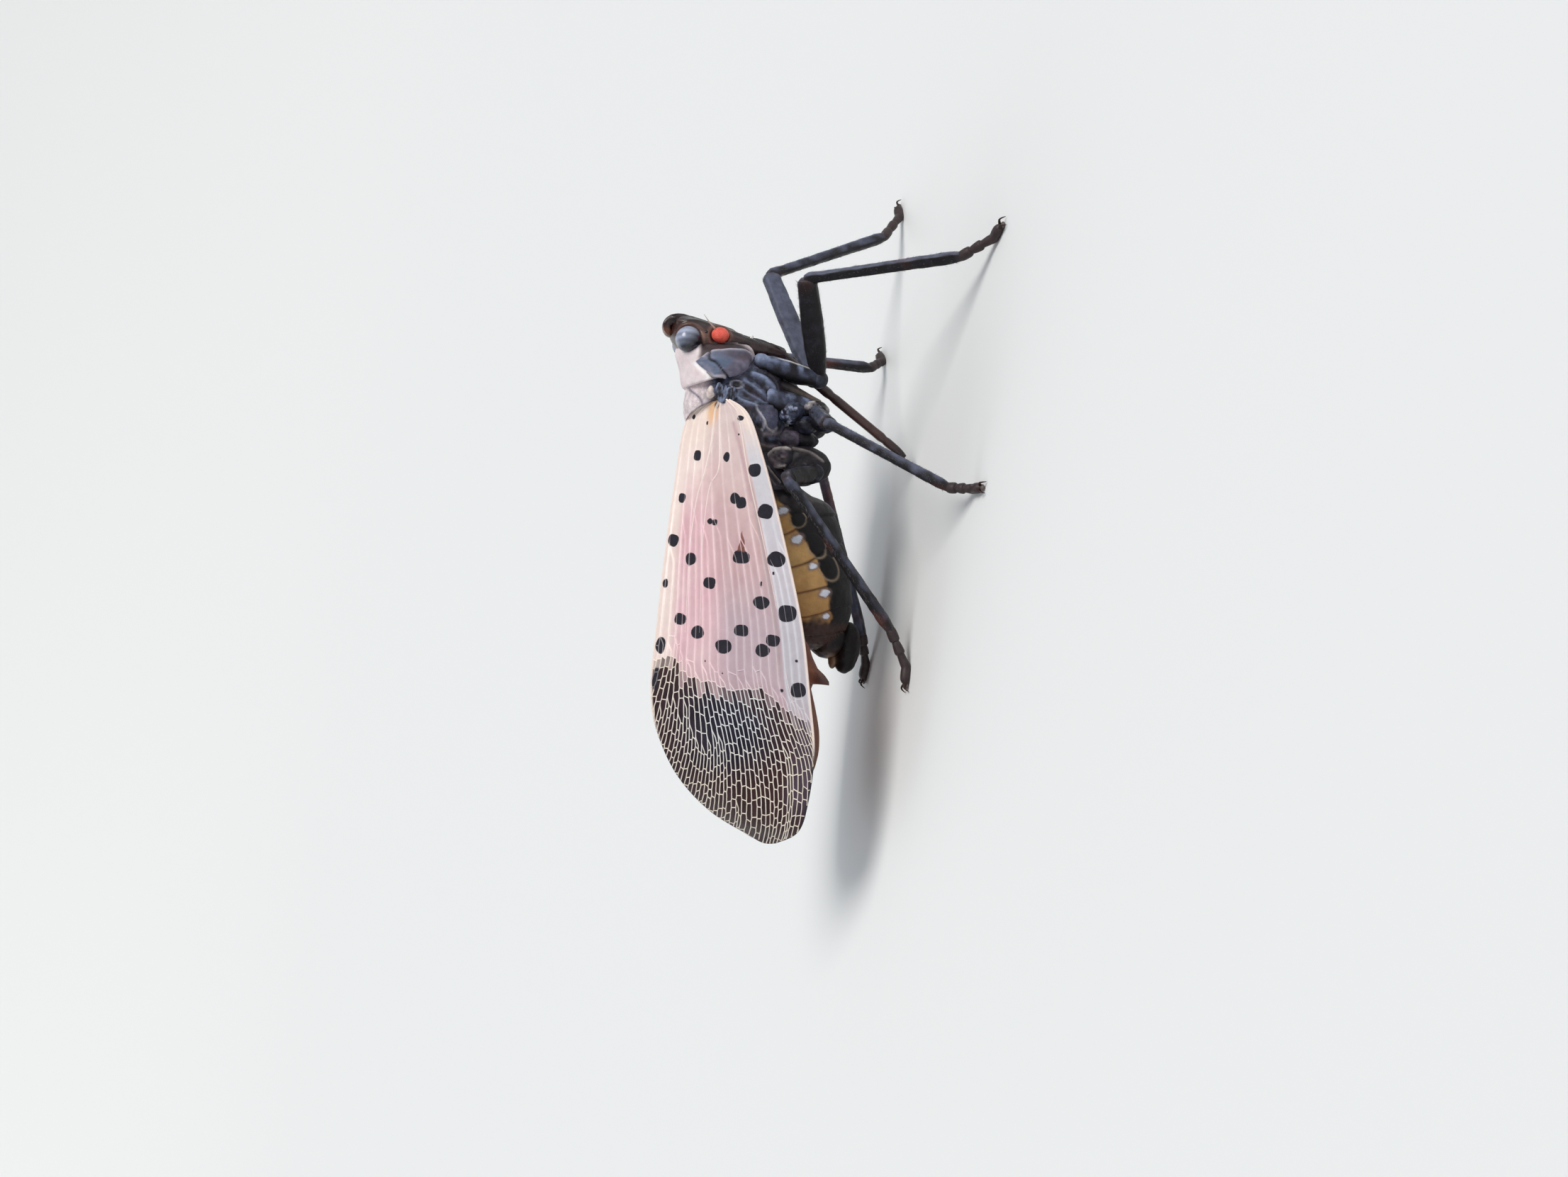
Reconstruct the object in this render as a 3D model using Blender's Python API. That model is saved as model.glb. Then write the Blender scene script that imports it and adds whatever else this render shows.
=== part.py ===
"""Spotted lanternfly, life size, standing still with its wings folded like a roof."""
import math

import bmesh
import bpy
from mathutils import Matrix, Vector

# Scale and fit; every length below is in mm
MM = 0.001
GAP = 0.3
EYE_GAP = 0.22
WELD = 0.0005
SHARP_ANGLE = math.radians(32)
SIDES = {"right": -1, "left": 1}

# The body leans a little to its left, about a line along X at this height
LEAN = math.radians(8)
LEAN_HEIGHT = 6.0

# Head, from the crown down: height, front, back, half width
HEAD_STATIONS = (
    (12.72, 6.25, 5.35, 0.60),
    (12.48, 6.80, 5.12, 1.10),
    (12.00, 6.84, 4.98, 1.38),
    (11.30, 6.75, 4.95, 1.52),
    (10.60, 6.63, 5.18, 1.54),
    (9.95, 6.52, 5.42, 1.44),
    (9.45, 6.34, 5.50, 1.26),
    (9.25, 6.24, 5.52, 1.06),
    (8.70, 6.28, 5.50, 0.92),
    (8.10, 6.18, 5.46, 0.74),
    (7.50, 6.04, 5.46, 0.50),
    (7.15, 5.92, 5.52, 0.34),
)
HEAD_SIDES = 20
HEAD_POWER = 2.8
# Short horn that turns back over the crown: x, height, half width, half thickness
HORN_STATIONS = (
    (6.55, 11.90, 0.62, 0.26),
    (6.66, 12.45, 0.56, 0.26),
    (6.56, 12.80, 0.50, 0.24),
    (6.25, 12.98, 0.46, 0.21),
    (5.98, 12.90, 0.38, 0.17),
)
HORN_SIDES = 8

# Body lofts along X: x at the top, x at the bottom, half width, top, bottom
TRUNK_SIDES = 24
SQUEEZE_POWER = 1.5
PRONOTUM_STATIONS = (
    (5.45, 5.85, 1.75, 12.30, 8.80),
    (5.00, 5.60, 2.20, 12.34, 8.62),
    (4.40, 5.20, 2.42, 12.10, 8.55),
    (3.80, 4.85, 2.50, 11.92, 8.62),
    (3.50, 4.60, 2.42, 11.78, 8.80),
)
PRONOTUM_FORM = (2.4, 0.18)
THORAX_STATIONS = (
    (3.60, 4.50, 1.95, 11.60, 7.30),
    (3.05, 3.75, 2.36, 11.68, 6.85),
    (2.20, 2.50, 2.42, 11.58, 6.55),
    (1.20, 1.20, 2.38, 10.90, 6.40),
    (0.20, 0.20, 2.32, 10.40, 6.20),
    (-0.60, -0.60, 2.26, 10.15, 5.85),
)
THORAX_FORM = (2.6, 0.35)
# Swollen side plates of the thorax: centre, then radii
SIDE_PLATES = (
    ((2.55, 1.98, 8.75), (0.95, 0.58, 1.10)),
    ((1.05, 1.94, 8.00), (0.70, 0.55, 0.90)),
)
ABDOMEN_STATIONS = (
    (-0.90, -0.90, 2.12, 10.00, 5.00),
    (-1.25, -1.25, 2.36, 9.90, 4.00),
    (-2.10, -2.10, 2.64, 9.70, 3.47),
    (-3.10, -3.10, 2.80, 9.40, 3.06),
    (-4.10, -4.10, 2.85, 9.00, 2.71),
    (-5.10, -5.10, 2.80, 8.50, 2.45),
    (-6.10, -6.10, 2.60, 7.85, 2.28),
    (-7.00, -7.00, 2.22, 7.05, 2.42),
    (-7.80, -7.80, 1.66, 6.15, 2.85),
    (-8.22, -8.22, 1.00, 5.35, 3.35),
)
ABDOMEN_FORM = (2.2, 0.25)
# Each belly ring widens to its rear edge, then steps in
RING_EDGES = (-2.35, -3.60, -4.85, -6.00, -6.95)
RING_STEP = 0.10
RING_SLOPE = 0.06
LOBE_CENTRE = (-8.00, 0.0, 2.26)
LOBE_RADII = (1.28, 0.82, 0.66)

# Eyes and antennae, set in cups of the head
EYE_CENTRE = (5.65, 1.42, 11.92)
EYE_RADIUS = 0.60
BULB_CENTRE = (6.04, 1.66, 10.46)
BULB_RADII = (0.40, 0.36, 0.42)
BRISTLE_POINTS = ((6.20, 1.76, 10.68), (6.52, 1.95, 11.05), (6.88, 2.00, 11.38))
BRISTLE_RADII = (0.13, 0.07, 0.03)

# Beak, along the midline from the face to just above the floor
BEAK_POINTS = ((5.70, 0.0, 7.30), (4.55, 0.0, 5.42), (3.10, 0.0, 3.06), (1.95, 0.0, 1.19), (1.60, 0.0, 0.62))
BEAK_RADII = (0.27, 0.27, 0.26, 0.24, 0.14)
BEAK_RESOLUTION = 3

# Small white shields over the wing roots
TEGULA_CENTRE = (3.22, 2.34, 10.62)
TEGULA_RADII = (0.38, 0.32, 0.42)

# Fore wing from hinge to tip: x, height and outward reach of each edge
WING_BACK = (
    (2.90, 10.36, 1.85), (1.86, 11.43, 0.42), (-1.33, 11.60, 0.16), (-4.64, 11.62, 0.16),
    (-8.01, 11.56, 0.16), (-11.02, 11.46, 0.16), (-13.02, 10.96, 0.16), (-15.12, 9.70, 0.16),
    (-16.76, 7.95, 0.16), (-17.80, 5.56, 0.30),
)
WING_COSTA = (
    (2.98, 9.77, 2.60), (2.35, 8.81, 3.30), (0.51, 7.92, 3.75), (-2.40, 6.76, 4.05),
    (-6.90, 5.19, 4.50), (-10.40, 4.34, 4.75), (-12.99, 3.79, 4.75), (-15.45, 3.71, 4.20),
    (-16.89, 3.87, 3.20), (-17.73, 4.59, 1.40),
)
KEEL_HALF_GAP = 0.16
KEEL_WIDTH = 1.6
KEEL_SLANT = 0.35
NORMAL_STEP = 0.004
WING_THICKNESS = 0.5
WING_CROWN = 0.05
TIP_CROWN = 0.12
TIP_START = 0.72
WING_RIBS = 24
WING_VEINS = (0.10, 0.22, 0.34, 0.46, 0.58, 0.70, 0.83, 0.94)
VEIN_HALF_WIDTH = 0.020
VEIN_HEIGHT = 0.09
VEIN_END = 0.90
# Room round the fore wing where the body lies, in shares of the wing's length
ROOM_ENDS = (-0.045, 0.65)
ROOM_STEPS = 8
ROOM_KEEL = -0.05
# Pit in the thorax round the front corner of the wing's hinge
PIT_CENTRE = (3.02, 2.30, 9.36)
PIT_RADII = (0.50, 0.52, 0.60)

# Hind wing under the fore wing, in shares of the fore wing's length and width
HIND_DEPTH = 0.86
HIND_SPAN = (0.16, 0.70)
HIND_BACK = 0.16
HIND_COSTA = ((0.84,), (0.87,), (0.89,), (0.90,), (0.91,), (0.95,), (0.96,), (0.78,))
HIND_RIBS = 18
HIND_STEPS = 7
# Hooked lobe of the hind wing's edge: share of length, drop past the edge
HIND_LOBE = ((0.474, 0.0), (0.488, 0.07), (0.524, 0.13), (0.544, 0.06), (0.556, 0.0))
HIND_LOBE_ROOT = 0.7
# The left hind wing is tucked in: share of the edge's reach, then of the lobe's
HIND_TUCK = {-1: (1.0, 1.0), 1: (0.90, 0.0)}

# Legs: hip on the body, then knee, ankle and claw over the floor; y is outward
LEGS = {
    "fore_right": ((4.65, 1.04, 5.42), (9.05, 3.20, 7.33), (10.63, 7.35, 1.24), (11.95, 9.20)),
    "fore_left": ((4.85, 1.04, 5.48), (9.87, 3.15, 7.70), (13.24, 6.25, 1.26), (15.20, 8.10)),
    "mid_right": ((3.08, 1.66, 5.50), (2.25, 6.40, 6.31), (-0.08, 9.40, 1.04), (0.02, 11.15)),
    "mid_left": ((3.18, 1.66, 5.62), (6.05, 4.90, 6.78), (6.43, 6.50, 1.00), (7.35, 7.95)),
    "hind_right": ((0.10, 2.48, 5.20), (-0.45, 4.80, 7.40), (-6.84, 3.60, 1.12), (-9.25, 4.00)),
    "hind_left": ((0.20, 2.40, 5.12), (1.30, 4.70, 3.62), (-7.40, 2.55, 0.68), (-9.55, 3.15)),
}
# Fore and mid coxa: its base on the thorax, width and thickness; the hind coxa is a broad oval plate
COXAE = {"fore": ((5.10, 1.75, 8.87), (0.90, 0.82)), "mid": ((3.40, 1.85, 7.80), (1.00, 0.90))}
HIND_COXA_CENTRE = (0.42, 1.85, 5.60)
HIND_COXA_RADII = (0.90, 0.68, 1.22)
# Width and thickness of femur and tibia
FEMUR_SIZES = {"fore": (1.08, 0.62), "mid": (0.84, 0.66), "hind": (0.84, 0.70)}
TIBIA_SIZE = (0.56, 0.52)
KNOB_RADIUS = 0.44
# Share of a segment's length, then shares of its width and thickness
COXA_SHAPE = ((0.0, 0.95, 0.95), (0.4, 1.0, 1.0), (0.8, 0.92, 0.95), (1.0, 0.7, 0.8))
FEMUR_SHAPE = ((0.0, 0.62, 0.85), (0.18, 0.85, 0.95), (0.5, 1.0, 1.0), (0.85, 0.92, 1.0), (1.0, 0.75, 0.95))
TIBIA_SHAPE = ((0.0, 1.0, 1.0), (0.12, 0.92, 0.95), (0.55, 0.95, 0.95), (0.9, 1.0, 1.0), (1.0, 0.95, 0.95))
COXA_SIDES, FEMUR_SIDES, TIBIA_SIDES, FOOT_SIDES = 10, 8, 6, 8

# Foot: share of the way from ankle to pad, and radius there
FOOT_JOINTS = ((0.0, 0.25), (0.28, 0.27), (0.34, 0.20), (0.62, 0.26), (0.68, 0.20))
PAD_LENGTH = 0.75
PAD_HEIGHT = 0.20
PAD_RADIUS = 0.25
PAD_SPREAD = 1.25
PAD_END = 0.15
TOE_HEIGHT = 0.14
TOE_REACH = 0.20
TOE_RADIUS = 0.12
CLAW_RADII = (0.11, 0.09, 0.03)
CLAW_ROOT = (0.10, 0.08)
CLAW_BEND = 0.6
CLAW_REACH = 0.42
CLAW_SPREAD = 0.26
CLAW_RISE = 0.18
CLAW_TIP_HEIGHT = 0.045

# Colours
DARK = (0.035, 0.030, 0.034)
SLATE = (0.115, 0.120, 0.155)
BROWN = (0.060, 0.030, 0.026)
PINK = (0.640, 0.500, 0.480)
CREAM = (0.740, 0.610, 0.560)
OCHRE = (0.560, 0.330, 0.085)
EYE_GREY = (0.055, 0.055, 0.060)
SCARLET = (0.800, 0.110, 0.045)
RUST = (0.200, 0.075, 0.045)
PALE = (0.600, 0.580, 0.560)

for obj in list(bpy.data.objects):
    bpy.data.objects.remove(obj, do_unlink=True)

PARTS = bpy.data.collections.new("spotted_lanternfly")
CUTTERS = bpy.data.collections.new("cutters")
bpy.context.scene.collection.children.link(PARTS)
bpy.context.scene.collection.children.link(CUTTERS)

# The legs stand on the ground empty, and the leaning body hangs from it
GROUND = bpy.data.objects.new("ground", None)
BODY = bpy.data.objects.new("leaning_body", None)
PARTS.objects.link(GROUND)
PARTS.objects.link(BODY)
LEAN_MATRIX = (Matrix.Translation((0, 0, LEAN_HEIGHT)) @ Matrix.Rotation(-LEAN, 4, "X")
               @ Matrix.Translation((0, 0, -LEAN_HEIGHT)))
BODY.parent = GROUND
BODY.rotation_euler.x = -LEAN
BODY.location = LEAN_MATRIX.translation * MM


# Objects and their cuts
def solid(name, shape, parent, colour=None, rough=0.5):
    """A closed mesh object from points and faces; with no colour it is a cutter."""
    points, faces = shape
    mesh = bpy.data.meshes.new(name)
    mesh.from_pydata([tuple(p * MM) for p in points], [], faces)
    bm = bmesh.new()
    bm.from_mesh(mesh)
    if bm.calc_volume(signed=True) < 0:
        bmesh.ops.reverse_faces(bm, faces=bm.faces)
    bm.to_mesh(mesh)
    bm.free()
    obj = bpy.data.objects.new(name, mesh)
    obj.parent = parent
    if colour is None:
        CUTTERS.objects.link(obj)
        obj.hide_render = True
        obj.display_type = "WIRE"
        return obj
    PARTS.objects.link(obj)
    mesh.materials.append(surface(name, colour, rough))
    return obj


def surface(name, colour, rough):
    mat = bpy.data.materials.new(name + "_surface")
    mat.use_nodes = True
    shader = mat.node_tree.nodes["Principled BSDF"]
    shader.inputs["Base Color"].default_value = (*colour, 1.0)
    shader.inputs["Roughness"].default_value = rough
    mat.diffuse_color = (*colour, 1.0)
    return mat


def combine(obj, shape, parent, kind):
    """Join a shape to obj, or cut it away, and keep the result as obj's mesh."""
    other = solid("cutter", shape, parent)
    mod = obj.modifiers.new(kind.lower(), "BOOLEAN")
    mod.operation = kind
    mod.solver = "EXACT"
    mod.object = other
    graph = bpy.context.evaluated_depsgraph_get()
    graph.update()
    done = bpy.data.meshes.new_from_object(obj.evaluated_get(graph))
    obj.modifiers.remove(mod)
    old = obj.data
    obj.data = done
    bpy.data.meshes.remove(old)
    bpy.data.objects.remove(other, do_unlink=True)


def clear(obj, *shapes, parent=BODY):
    """Cut obj by each closed shape."""
    for shape in shapes:
        combine(obj, shape, parent, "DIFFERENCE")
    keep_largest(obj)


def join(obj, *shapes, parent=BODY):
    """Fuse closed shapes onto obj."""
    for shape in shapes:
        combine(obj, shape, parent, "UNION")
    keep_largest(obj)


def volume(shell):
    total = 0.0
    for face in shell:
        a, b, c = (v.co for v in face.verts)
        total += a.dot(b.cross(c)) / 6
    return total


def keep_largest(obj):
    """Weld the mesh, split it into triangles and drop all but its largest closed surface."""
    bm = bmesh.new()
    bm.from_mesh(obj.data)
    bmesh.ops.remove_doubles(bm, verts=bm.verts, dist=WELD * MM)
    bmesh.ops.dissolve_degenerate(bm, edges=bm.edges, dist=WELD * MM)
    bmesh.ops.triangulate(bm, faces=bm.faces)
    left = set(bm.faces)
    shells = []
    while left:
        front = [left.pop()]
        shell = set(front)
        while front:
            around = {face for edge in front.pop().edges for face in edge.link_faces}
            fresh = around & left
            left -= fresh
            shell |= fresh
            front += fresh
        shells.append(shell)
    best = max(shells, key=volume)
    bmesh.ops.delete(bm, geom=[face for face in bm.faces if face not in best], context="FACES")
    bmesh.ops.delete(bm, geom=[v for v in bm.verts if not v.link_faces], context="VERTS")
    bm.to_mesh(obj.data)
    bm.free()


# Shapes, each a list of points and a list of faces
def loft(rings):
    """Join rings of points, closing both ends."""
    count = len(rings[0])
    points = [p for ring in rings for p in ring]
    faces = []
    for i in range(len(rings) - 1):
        for k in range(count):
            j = (k + 1) % count
            faces.append((i * count + k, i * count + j, (i + 1) * count + j, (i + 1) * count + k))
    faces.append(tuple(reversed(range(count))))
    faces.append(tuple(range(len(points) - count, len(points))))
    return points, faces


def oval(centre, u, v, a, b, sides, power=2.0, start=0.0):
    """A rounded ring of half sizes a and b along u and v; a higher power is boxier."""
    ring = []
    for k in range(sides):
        t = start + 2 * math.pi * k / sides
        c = math.copysign(abs(math.cos(t)) ** (2 / power), math.cos(t))
        s = math.copysign(abs(math.sin(t)) ** (2 / power), math.sin(t))
        ring.append(Vector(centre) + Vector(u) * (a * c) + Vector(v) * (b * s))
    return ring


def trunk(stations, form, grow=0.0):
    """Body loft along X; the form is the ring's power and how far its top narrows."""
    power, squeeze = form
    last = len(stations) - 1
    rings = []
    for i, (x_top, x_low, half, top, bottom) in enumerate(stations):
        end = grow if i == 0 else -grow if i == last else 0.0
        middle, tall = (top + bottom) / 2, (top - bottom) / 2
        ring = oval((0, 0, middle), (0, 1, 0), (0, 0, 1), half + grow, tall + grow, TRUNK_SIDES, power)
        for p in ring:
            p.y *= 1 - squeeze * max(0.0, (p.z - middle) / tall) ** SQUEEZE_POWER
            p.x = end + x_top + (x_low - x_top) * (top - p.z) / (top - bottom)
        rings.append(ring)
    return loft(rings)


def ball(centre, radii, sides=14, rows=9, grow=0.0):
    """An ellipsoid."""
    bm = bmesh.new()
    spread = Matrix.Diagonal([r + grow for r in radii]).to_4x4()
    bmesh.ops.create_uvsphere(bm, u_segments=sides, v_segments=rows, radius=1.0,
                              matrix=Matrix.Translation(centre) @ spread)
    shape = [v.co.copy() for v in bm.verts], [[v.index for v in face.verts] for face in bm.faces]
    bm.free()
    return shape


def tube(points, radii, resolution=2):
    """A tapered round tube along points, with its caps welded on."""
    curve = bpy.data.curves.new("tube", "CURVE")
    curve.dimensions = "3D"
    curve.bevel_depth = MM
    curve.bevel_resolution = resolution
    curve.use_fill_caps = True
    spline = curve.splines.new("POLY")
    spline.points.add(len(points) - 1)
    for knot, point, radius in zip(spline.points, points, radii):
        knot.co = (*(Vector(point) * MM), 1.0)
        knot.radius = radius
    holder = bpy.data.objects.new("tube", curve)
    CUTTERS.objects.link(holder)
    graph = bpy.context.evaluated_depsgraph_get()
    mesh = bpy.data.meshes.new_from_object(holder.evaluated_get(graph))
    bm = bmesh.new()
    bm.from_mesh(mesh)
    bmesh.ops.remove_doubles(bm, verts=bm.verts, dist=WELD * MM)
    shape = [v.co / MM for v in bm.verts], [[v.index for v in face.verts] for face in bm.faces]
    bm.free()
    bpy.data.objects.remove(holder, do_unlink=True)
    bpy.data.curves.remove(curve)
    bpy.data.meshes.remove(mesh)
    return shape


def rod(a, b, stations, sides, flat, cuts=(None, None), grow=0.0):
    """A straight limb from a to b, wide along flat, with its ends cut on planes where given."""
    way = (b - a).normalized()
    u = (flat - way * flat.dot(way)).normalized()
    v = way.cross(u)
    last = len(stations) - 1
    rings = []
    for i, (share, wide, thick) in enumerate(stations):
        ring = oval(a + (b - a) * share, u, v, wide / 2 + grow, thick / 2 + grow, sides, 2.0, math.pi / sides)
        cut = cuts[0] if i == 0 else cuts[1] if i == last else None
        push = -grow if i == 0 else grow if i == last else 0.0
        rings.append(on_plane(ring, way, cut) if cut else [p + way * push for p in ring])
    return loft(rings)


def on_plane(ring, way, plane):
    """Slide a ring's points along a limb to a plane."""
    place, normal = plane
    return [p + way * ((place - p).dot(normal) / way.dot(normal)) for p in ring]


def mitre(before, joint, after, offset):
    """The plane that halves the bend at a joint, moved along the leg by offset."""
    normal = ((joint - before).normalized() + (after - joint).normalized()).normalized()
    return joint + normal * offset, normal


def on_side(point, side):
    return Vector((point[0], point[1] * side, point[2]))


def lerp_row(rows, x):
    """Sizes at x between rows that start with x and run down."""
    for a, b in zip(rows, rows[1:]):
        if x >= b[0]:
            f = (x - a[0]) / (b[0] - a[0])
            return [p + (q - p) * f for p, q in zip(a, b)]
    return list(rows[-1])


def along(keys, s):
    """A smooth curve through evenly spaced keys, at s from 0 to 1."""
    last = len(keys) - 1
    i = min(max(int(s * last), 0), last - 1)
    f = s * last - i
    around = [keys[min(max(j, 0), last)] for j in (i - 1, i, i + 1, i + 2)]
    values = []
    for a, b, c, d in zip(*around):
        square, cube = 2 * a - 5 * b + 4 * c - d, 3 * b - a - 3 * c + d
        values.append(0.5 * (2 * b + (c - a) * f + square * f * f + cube * f ** 3))
    return values


# Head and body
def head_loft(grow=0.0):
    rings = []
    last = len(HEAD_STATIONS) - 1
    for i, (z, front, back, half) in enumerate(HEAD_STATIONS):
        end = grow if i == 0 else -grow if i == last else 0.0
        rings.append(oval(((front + back) / 2, 0, z + end), (1, 0, 0), (0, 1, 0), (front - back) / 2 + grow,
                          half + grow, HEAD_SIDES, HEAD_POWER, math.pi / HEAD_SIDES))
    return loft(rings)


def horn_loft():
    rings = []
    last = len(HORN_STATIONS) - 1
    for i, (x, z, half, thick) in enumerate(HORN_STATIONS):
        a, b = HORN_STATIONS[max(0, i - 1)], HORN_STATIONS[min(last, i + 1)]
        way = Vector((b[0] - a[0], 0, b[1] - a[1])).normalized()
        out = Vector((way.z, 0, -way.x))
        rings.append(oval((x, 0, z), out, (0, 1, 0), thick, half, HORN_SIDES, HEAD_POWER))
    return loft(rings)


def belly_stations():
    """The abdomen's rings, each a little wider towards its rear edge and stepped in behind it."""
    marks = {row[0] for row in ABDOMEN_STATIONS}
    for edge in RING_EDGES:
        marks |= {edge + RING_SLOPE, edge - RING_SLOPE}
    starts = (ABDOMEN_STATIONS[0][0], *RING_EDGES, ABDOMEN_STATIONS[-1][0])
    rows = []
    for x in sorted(marks, reverse=True):
        ring = max(i for i, start in enumerate(starts[:-1]) if x <= start)
        share = (starts[ring] - x) / (starts[ring] - starts[ring + 1])
        x_top, x_low, half, top, bottom = lerp_row(ABDOMEN_STATIONS, x)
        step = RING_STEP * (share - 0.5)
        rows.append((x_top, x_low, half + step, top + step, bottom - step))
    return rows


def thorax_shapes(grow=0.0):
    """The thorax's trunk, then its side plates."""
    shapes = [trunk(THORAX_STATIONS, THORAX_FORM, grow)]
    for centre, radii in SIDE_PLATES:
        shapes += [ball(on_side(centre, side), radii, grow=grow) for side in SIDES.values()]
    return shapes


PRONOTUM_ROOM = trunk(PRONOTUM_STATIONS, PRONOTUM_FORM, GAP)
THORAX_ROOM = thorax_shapes(GAP)
BELLY_ROOM = trunk(belly_stations(), ABDOMEN_FORM, GAP)

head = solid("head", head_loft(), BODY, BROWN, 0.4)
join(head, horn_loft())
pronotum = solid("pronotum", trunk(PRONOTUM_STATIONS, PRONOTUM_FORM), BODY, PINK, 0.6)
clear(pronotum, head_loft(GAP))
trunk_shape, *plate_shapes = thorax_shapes()
thorax = solid("thorax", trunk_shape, BODY, SLATE, 0.6)
join(thorax, *plate_shapes)
clear(thorax, PRONOTUM_ROOM)
abdomen = solid("abdomen", trunk(belly_stations(), ABDOMEN_FORM), BODY, OCHRE, 0.6)
terminalia = solid("terminalia", ball(LOBE_CENTRE, LOBE_RADII), BODY, DARK, 0.5)
clear(terminalia, BELLY_ROOM)
rostrum = solid("rostrum", tube(BEAK_POINTS, BEAK_RADII, BEAK_RESOLUTION), BODY, DARK, 0.35)
clear(rostrum, head_loft(GAP))


# Eyes and antennae
def eye_ball(side, grow=0.0):
    return ball(on_side(EYE_CENTRE, side), (EYE_RADIUS,) * 3, grow=grow)


def bulb_ball(side, grow=0.0):
    return ball(on_side(BULB_CENTRE, side), BULB_RADII, 12, 8, grow)


for word, side in SIDES.items():
    solid("eye_" + word, eye_ball(side), BODY, EYE_GREY, 0.12)
    antenna = solid("antenna_" + word, bulb_ball(side), BODY, SCARLET, 0.45)
    join(antenna, tube([on_side(p, side) for p in BRISTLE_POINTS], BRISTLE_RADII, 1))
    for carrier in (head, pronotum):
        clear(carrier, eye_ball(side, EYE_GAP), bulb_ball(side, EYE_GAP))


# Wings
def wing_point(s, t, side):
    """The fore wing's outer face, from hinge to tip by s and from back edge to costa by t."""
    xb, zb, lb = along(WING_BACK, s)
    xc, zc, lc = along(WING_COSTA, s)
    crown = WING_CROWN + TIP_CROWN * max(0.0, (s - TIP_START) / (1 - TIP_START))
    reach = lb + (lc - lb) * (t + crown * math.sin(math.pi * t))
    return Vector((xb + (xc - xb) * t, side * reach, zb + (zc - zb) * t))


def wing_normal(s, t, side):
    ds = wing_point(s + NORMAL_STEP, t, side) - wing_point(s - NORMAL_STEP, t, side)
    dt = wing_point(s, t + NORMAL_STEP, side) - wing_point(s, t - NORMAL_STEP, side)
    normal = ds.cross(dt).normalized()
    return normal if normal.y * side > 0 else -normal


def sheet(rows, outer, inner, side, keel):
    """A closed plate that follows the fore wing, both faces split into triangles alike.

    The rows hold places (s, t) on the wing; outer and inner are the faces' offsets.
    Near the midline the inner face is moved in the midline's plane, and stops at the keel.
    """
    width = len(rows[0])
    outer_points, inner_points = [], []
    for row in rows:
        for s, t in row:
            p, n = wing_point(s, t, side), wing_normal(s, t, side)
            upright = max(0.0, 1 - abs(p.y) / KEEL_WIDTH)
            along_keel = Vector((n.x, 0, n.z)).normalized()
            away = n.lerp(along_keel, upright).normalized()
            lower = p - away * (inner / max(KEEL_SLANT, away.dot(n)))
            upper = p + n * outer(s, t)
            for q in (lower, upper):
                q.y = side * max(keel, side * q.y)
            outer_points.append(upper)
            inner_points.append(lower)
    size = len(outer_points)
    faces = []
    for i in range(len(rows) - 1):
        for k in range(width - 1):
            a, b = i * width + k, i * width + k + 1
            c, d = a + width, b + width
            faces += [(a, b, d), (a, d, c)]
            faces += [(size + a, size + d, size + b), (size + a, size + c, size + d)]
    border = list(range(width))
    border += [i * width + width - 1 for i in range(1, len(rows))]
    border += [size - width + k for k in range(width - 2, -1, -1)]
    border += [i * width for i in range(len(rows) - 2, 0, -1)]
    for a, b in zip(border, border[1:] + border[:1]):
        faces += [(a, size + a, size + b), (a, size + b, b)]
    return outer_points + inner_points, faces


def spaced(span, count):
    return [span[0] + (span[1] - span[0]) * i / count for i in range(count + 1)]


def fore_wing(side):
    """The fore wing, with its long veins raised in its outer face."""
    chord = sorted({0.0, 1.0} | {v + d for v in WING_VEINS for d in (-VEIN_HALF_WIDTH, 0.0, VEIN_HALF_WIDTH)})
    rows = [[(s, t) for t in chord] for s in spaced((0.0, 1.0), WING_RIBS)]
    return sheet(rows, lambda s, t: VEIN_HEIGHT if t in WING_VEINS and 0.0 < s < VEIN_END else 0.0,
                 WING_THICKNESS, side, KEEL_HALF_GAP)


def fore_wing_room(side):
    """The space that the fore wing takes, with a gap round it."""
    ribs = [ROOM_ENDS[0]] + [s for s in spaced((0.0, 1.0), WING_RIBS) if 0.0 < s < ROOM_ENDS[1]]
    rows = []
    for s in ribs:
        past = GAP / (wing_point(s, 1.0, side) - wing_point(s, 0.0, side)).length
        rows.append([(s, t) for t in spaced((-past, 1 + past), ROOM_STEPS)])
    return sheet(rows, lambda s, t: GAP + VEIN_HEIGHT, WING_THICKNESS + GAP, side, ROOM_KEEL)


def lobe_drop(s):
    for (s0, d0), (s1, d1) in zip(HIND_LOBE, HIND_LOBE[1:]):
        if s0 <= s <= s1:
            return d0 + (d1 - d0) * (s - s0) / (s1 - s0)
    return 0.0


def hind_wing(side):
    """The hind wing, whose edge with its hooked lobe shows below the fore wing."""
    reach, lobed = HIND_TUCK[side]
    rows = []
    for s in sorted({s for s, drop in HIND_LOBE} | set(spaced(HIND_SPAN, HIND_RIBS))):
        edge = reach * along(HIND_COSTA, (s - HIND_SPAN[0]) / (HIND_SPAN[1] - HIND_SPAN[0]))[0]
        row = []
        for v in spaced((0.0, 1.0), HIND_STEPS):
            lobe = lobed * lobe_drop(s) * max(0.0, v - HIND_LOBE_ROOT) / (1 - HIND_LOBE_ROOT)
            row.append((s, HIND_BACK + (edge - HIND_BACK) * v + lobe))
        rows.append(row)
    return sheet(rows, lambda s, t: -HIND_DEPTH, HIND_DEPTH + WING_THICKNESS, side, KEEL_HALF_GAP)


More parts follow.
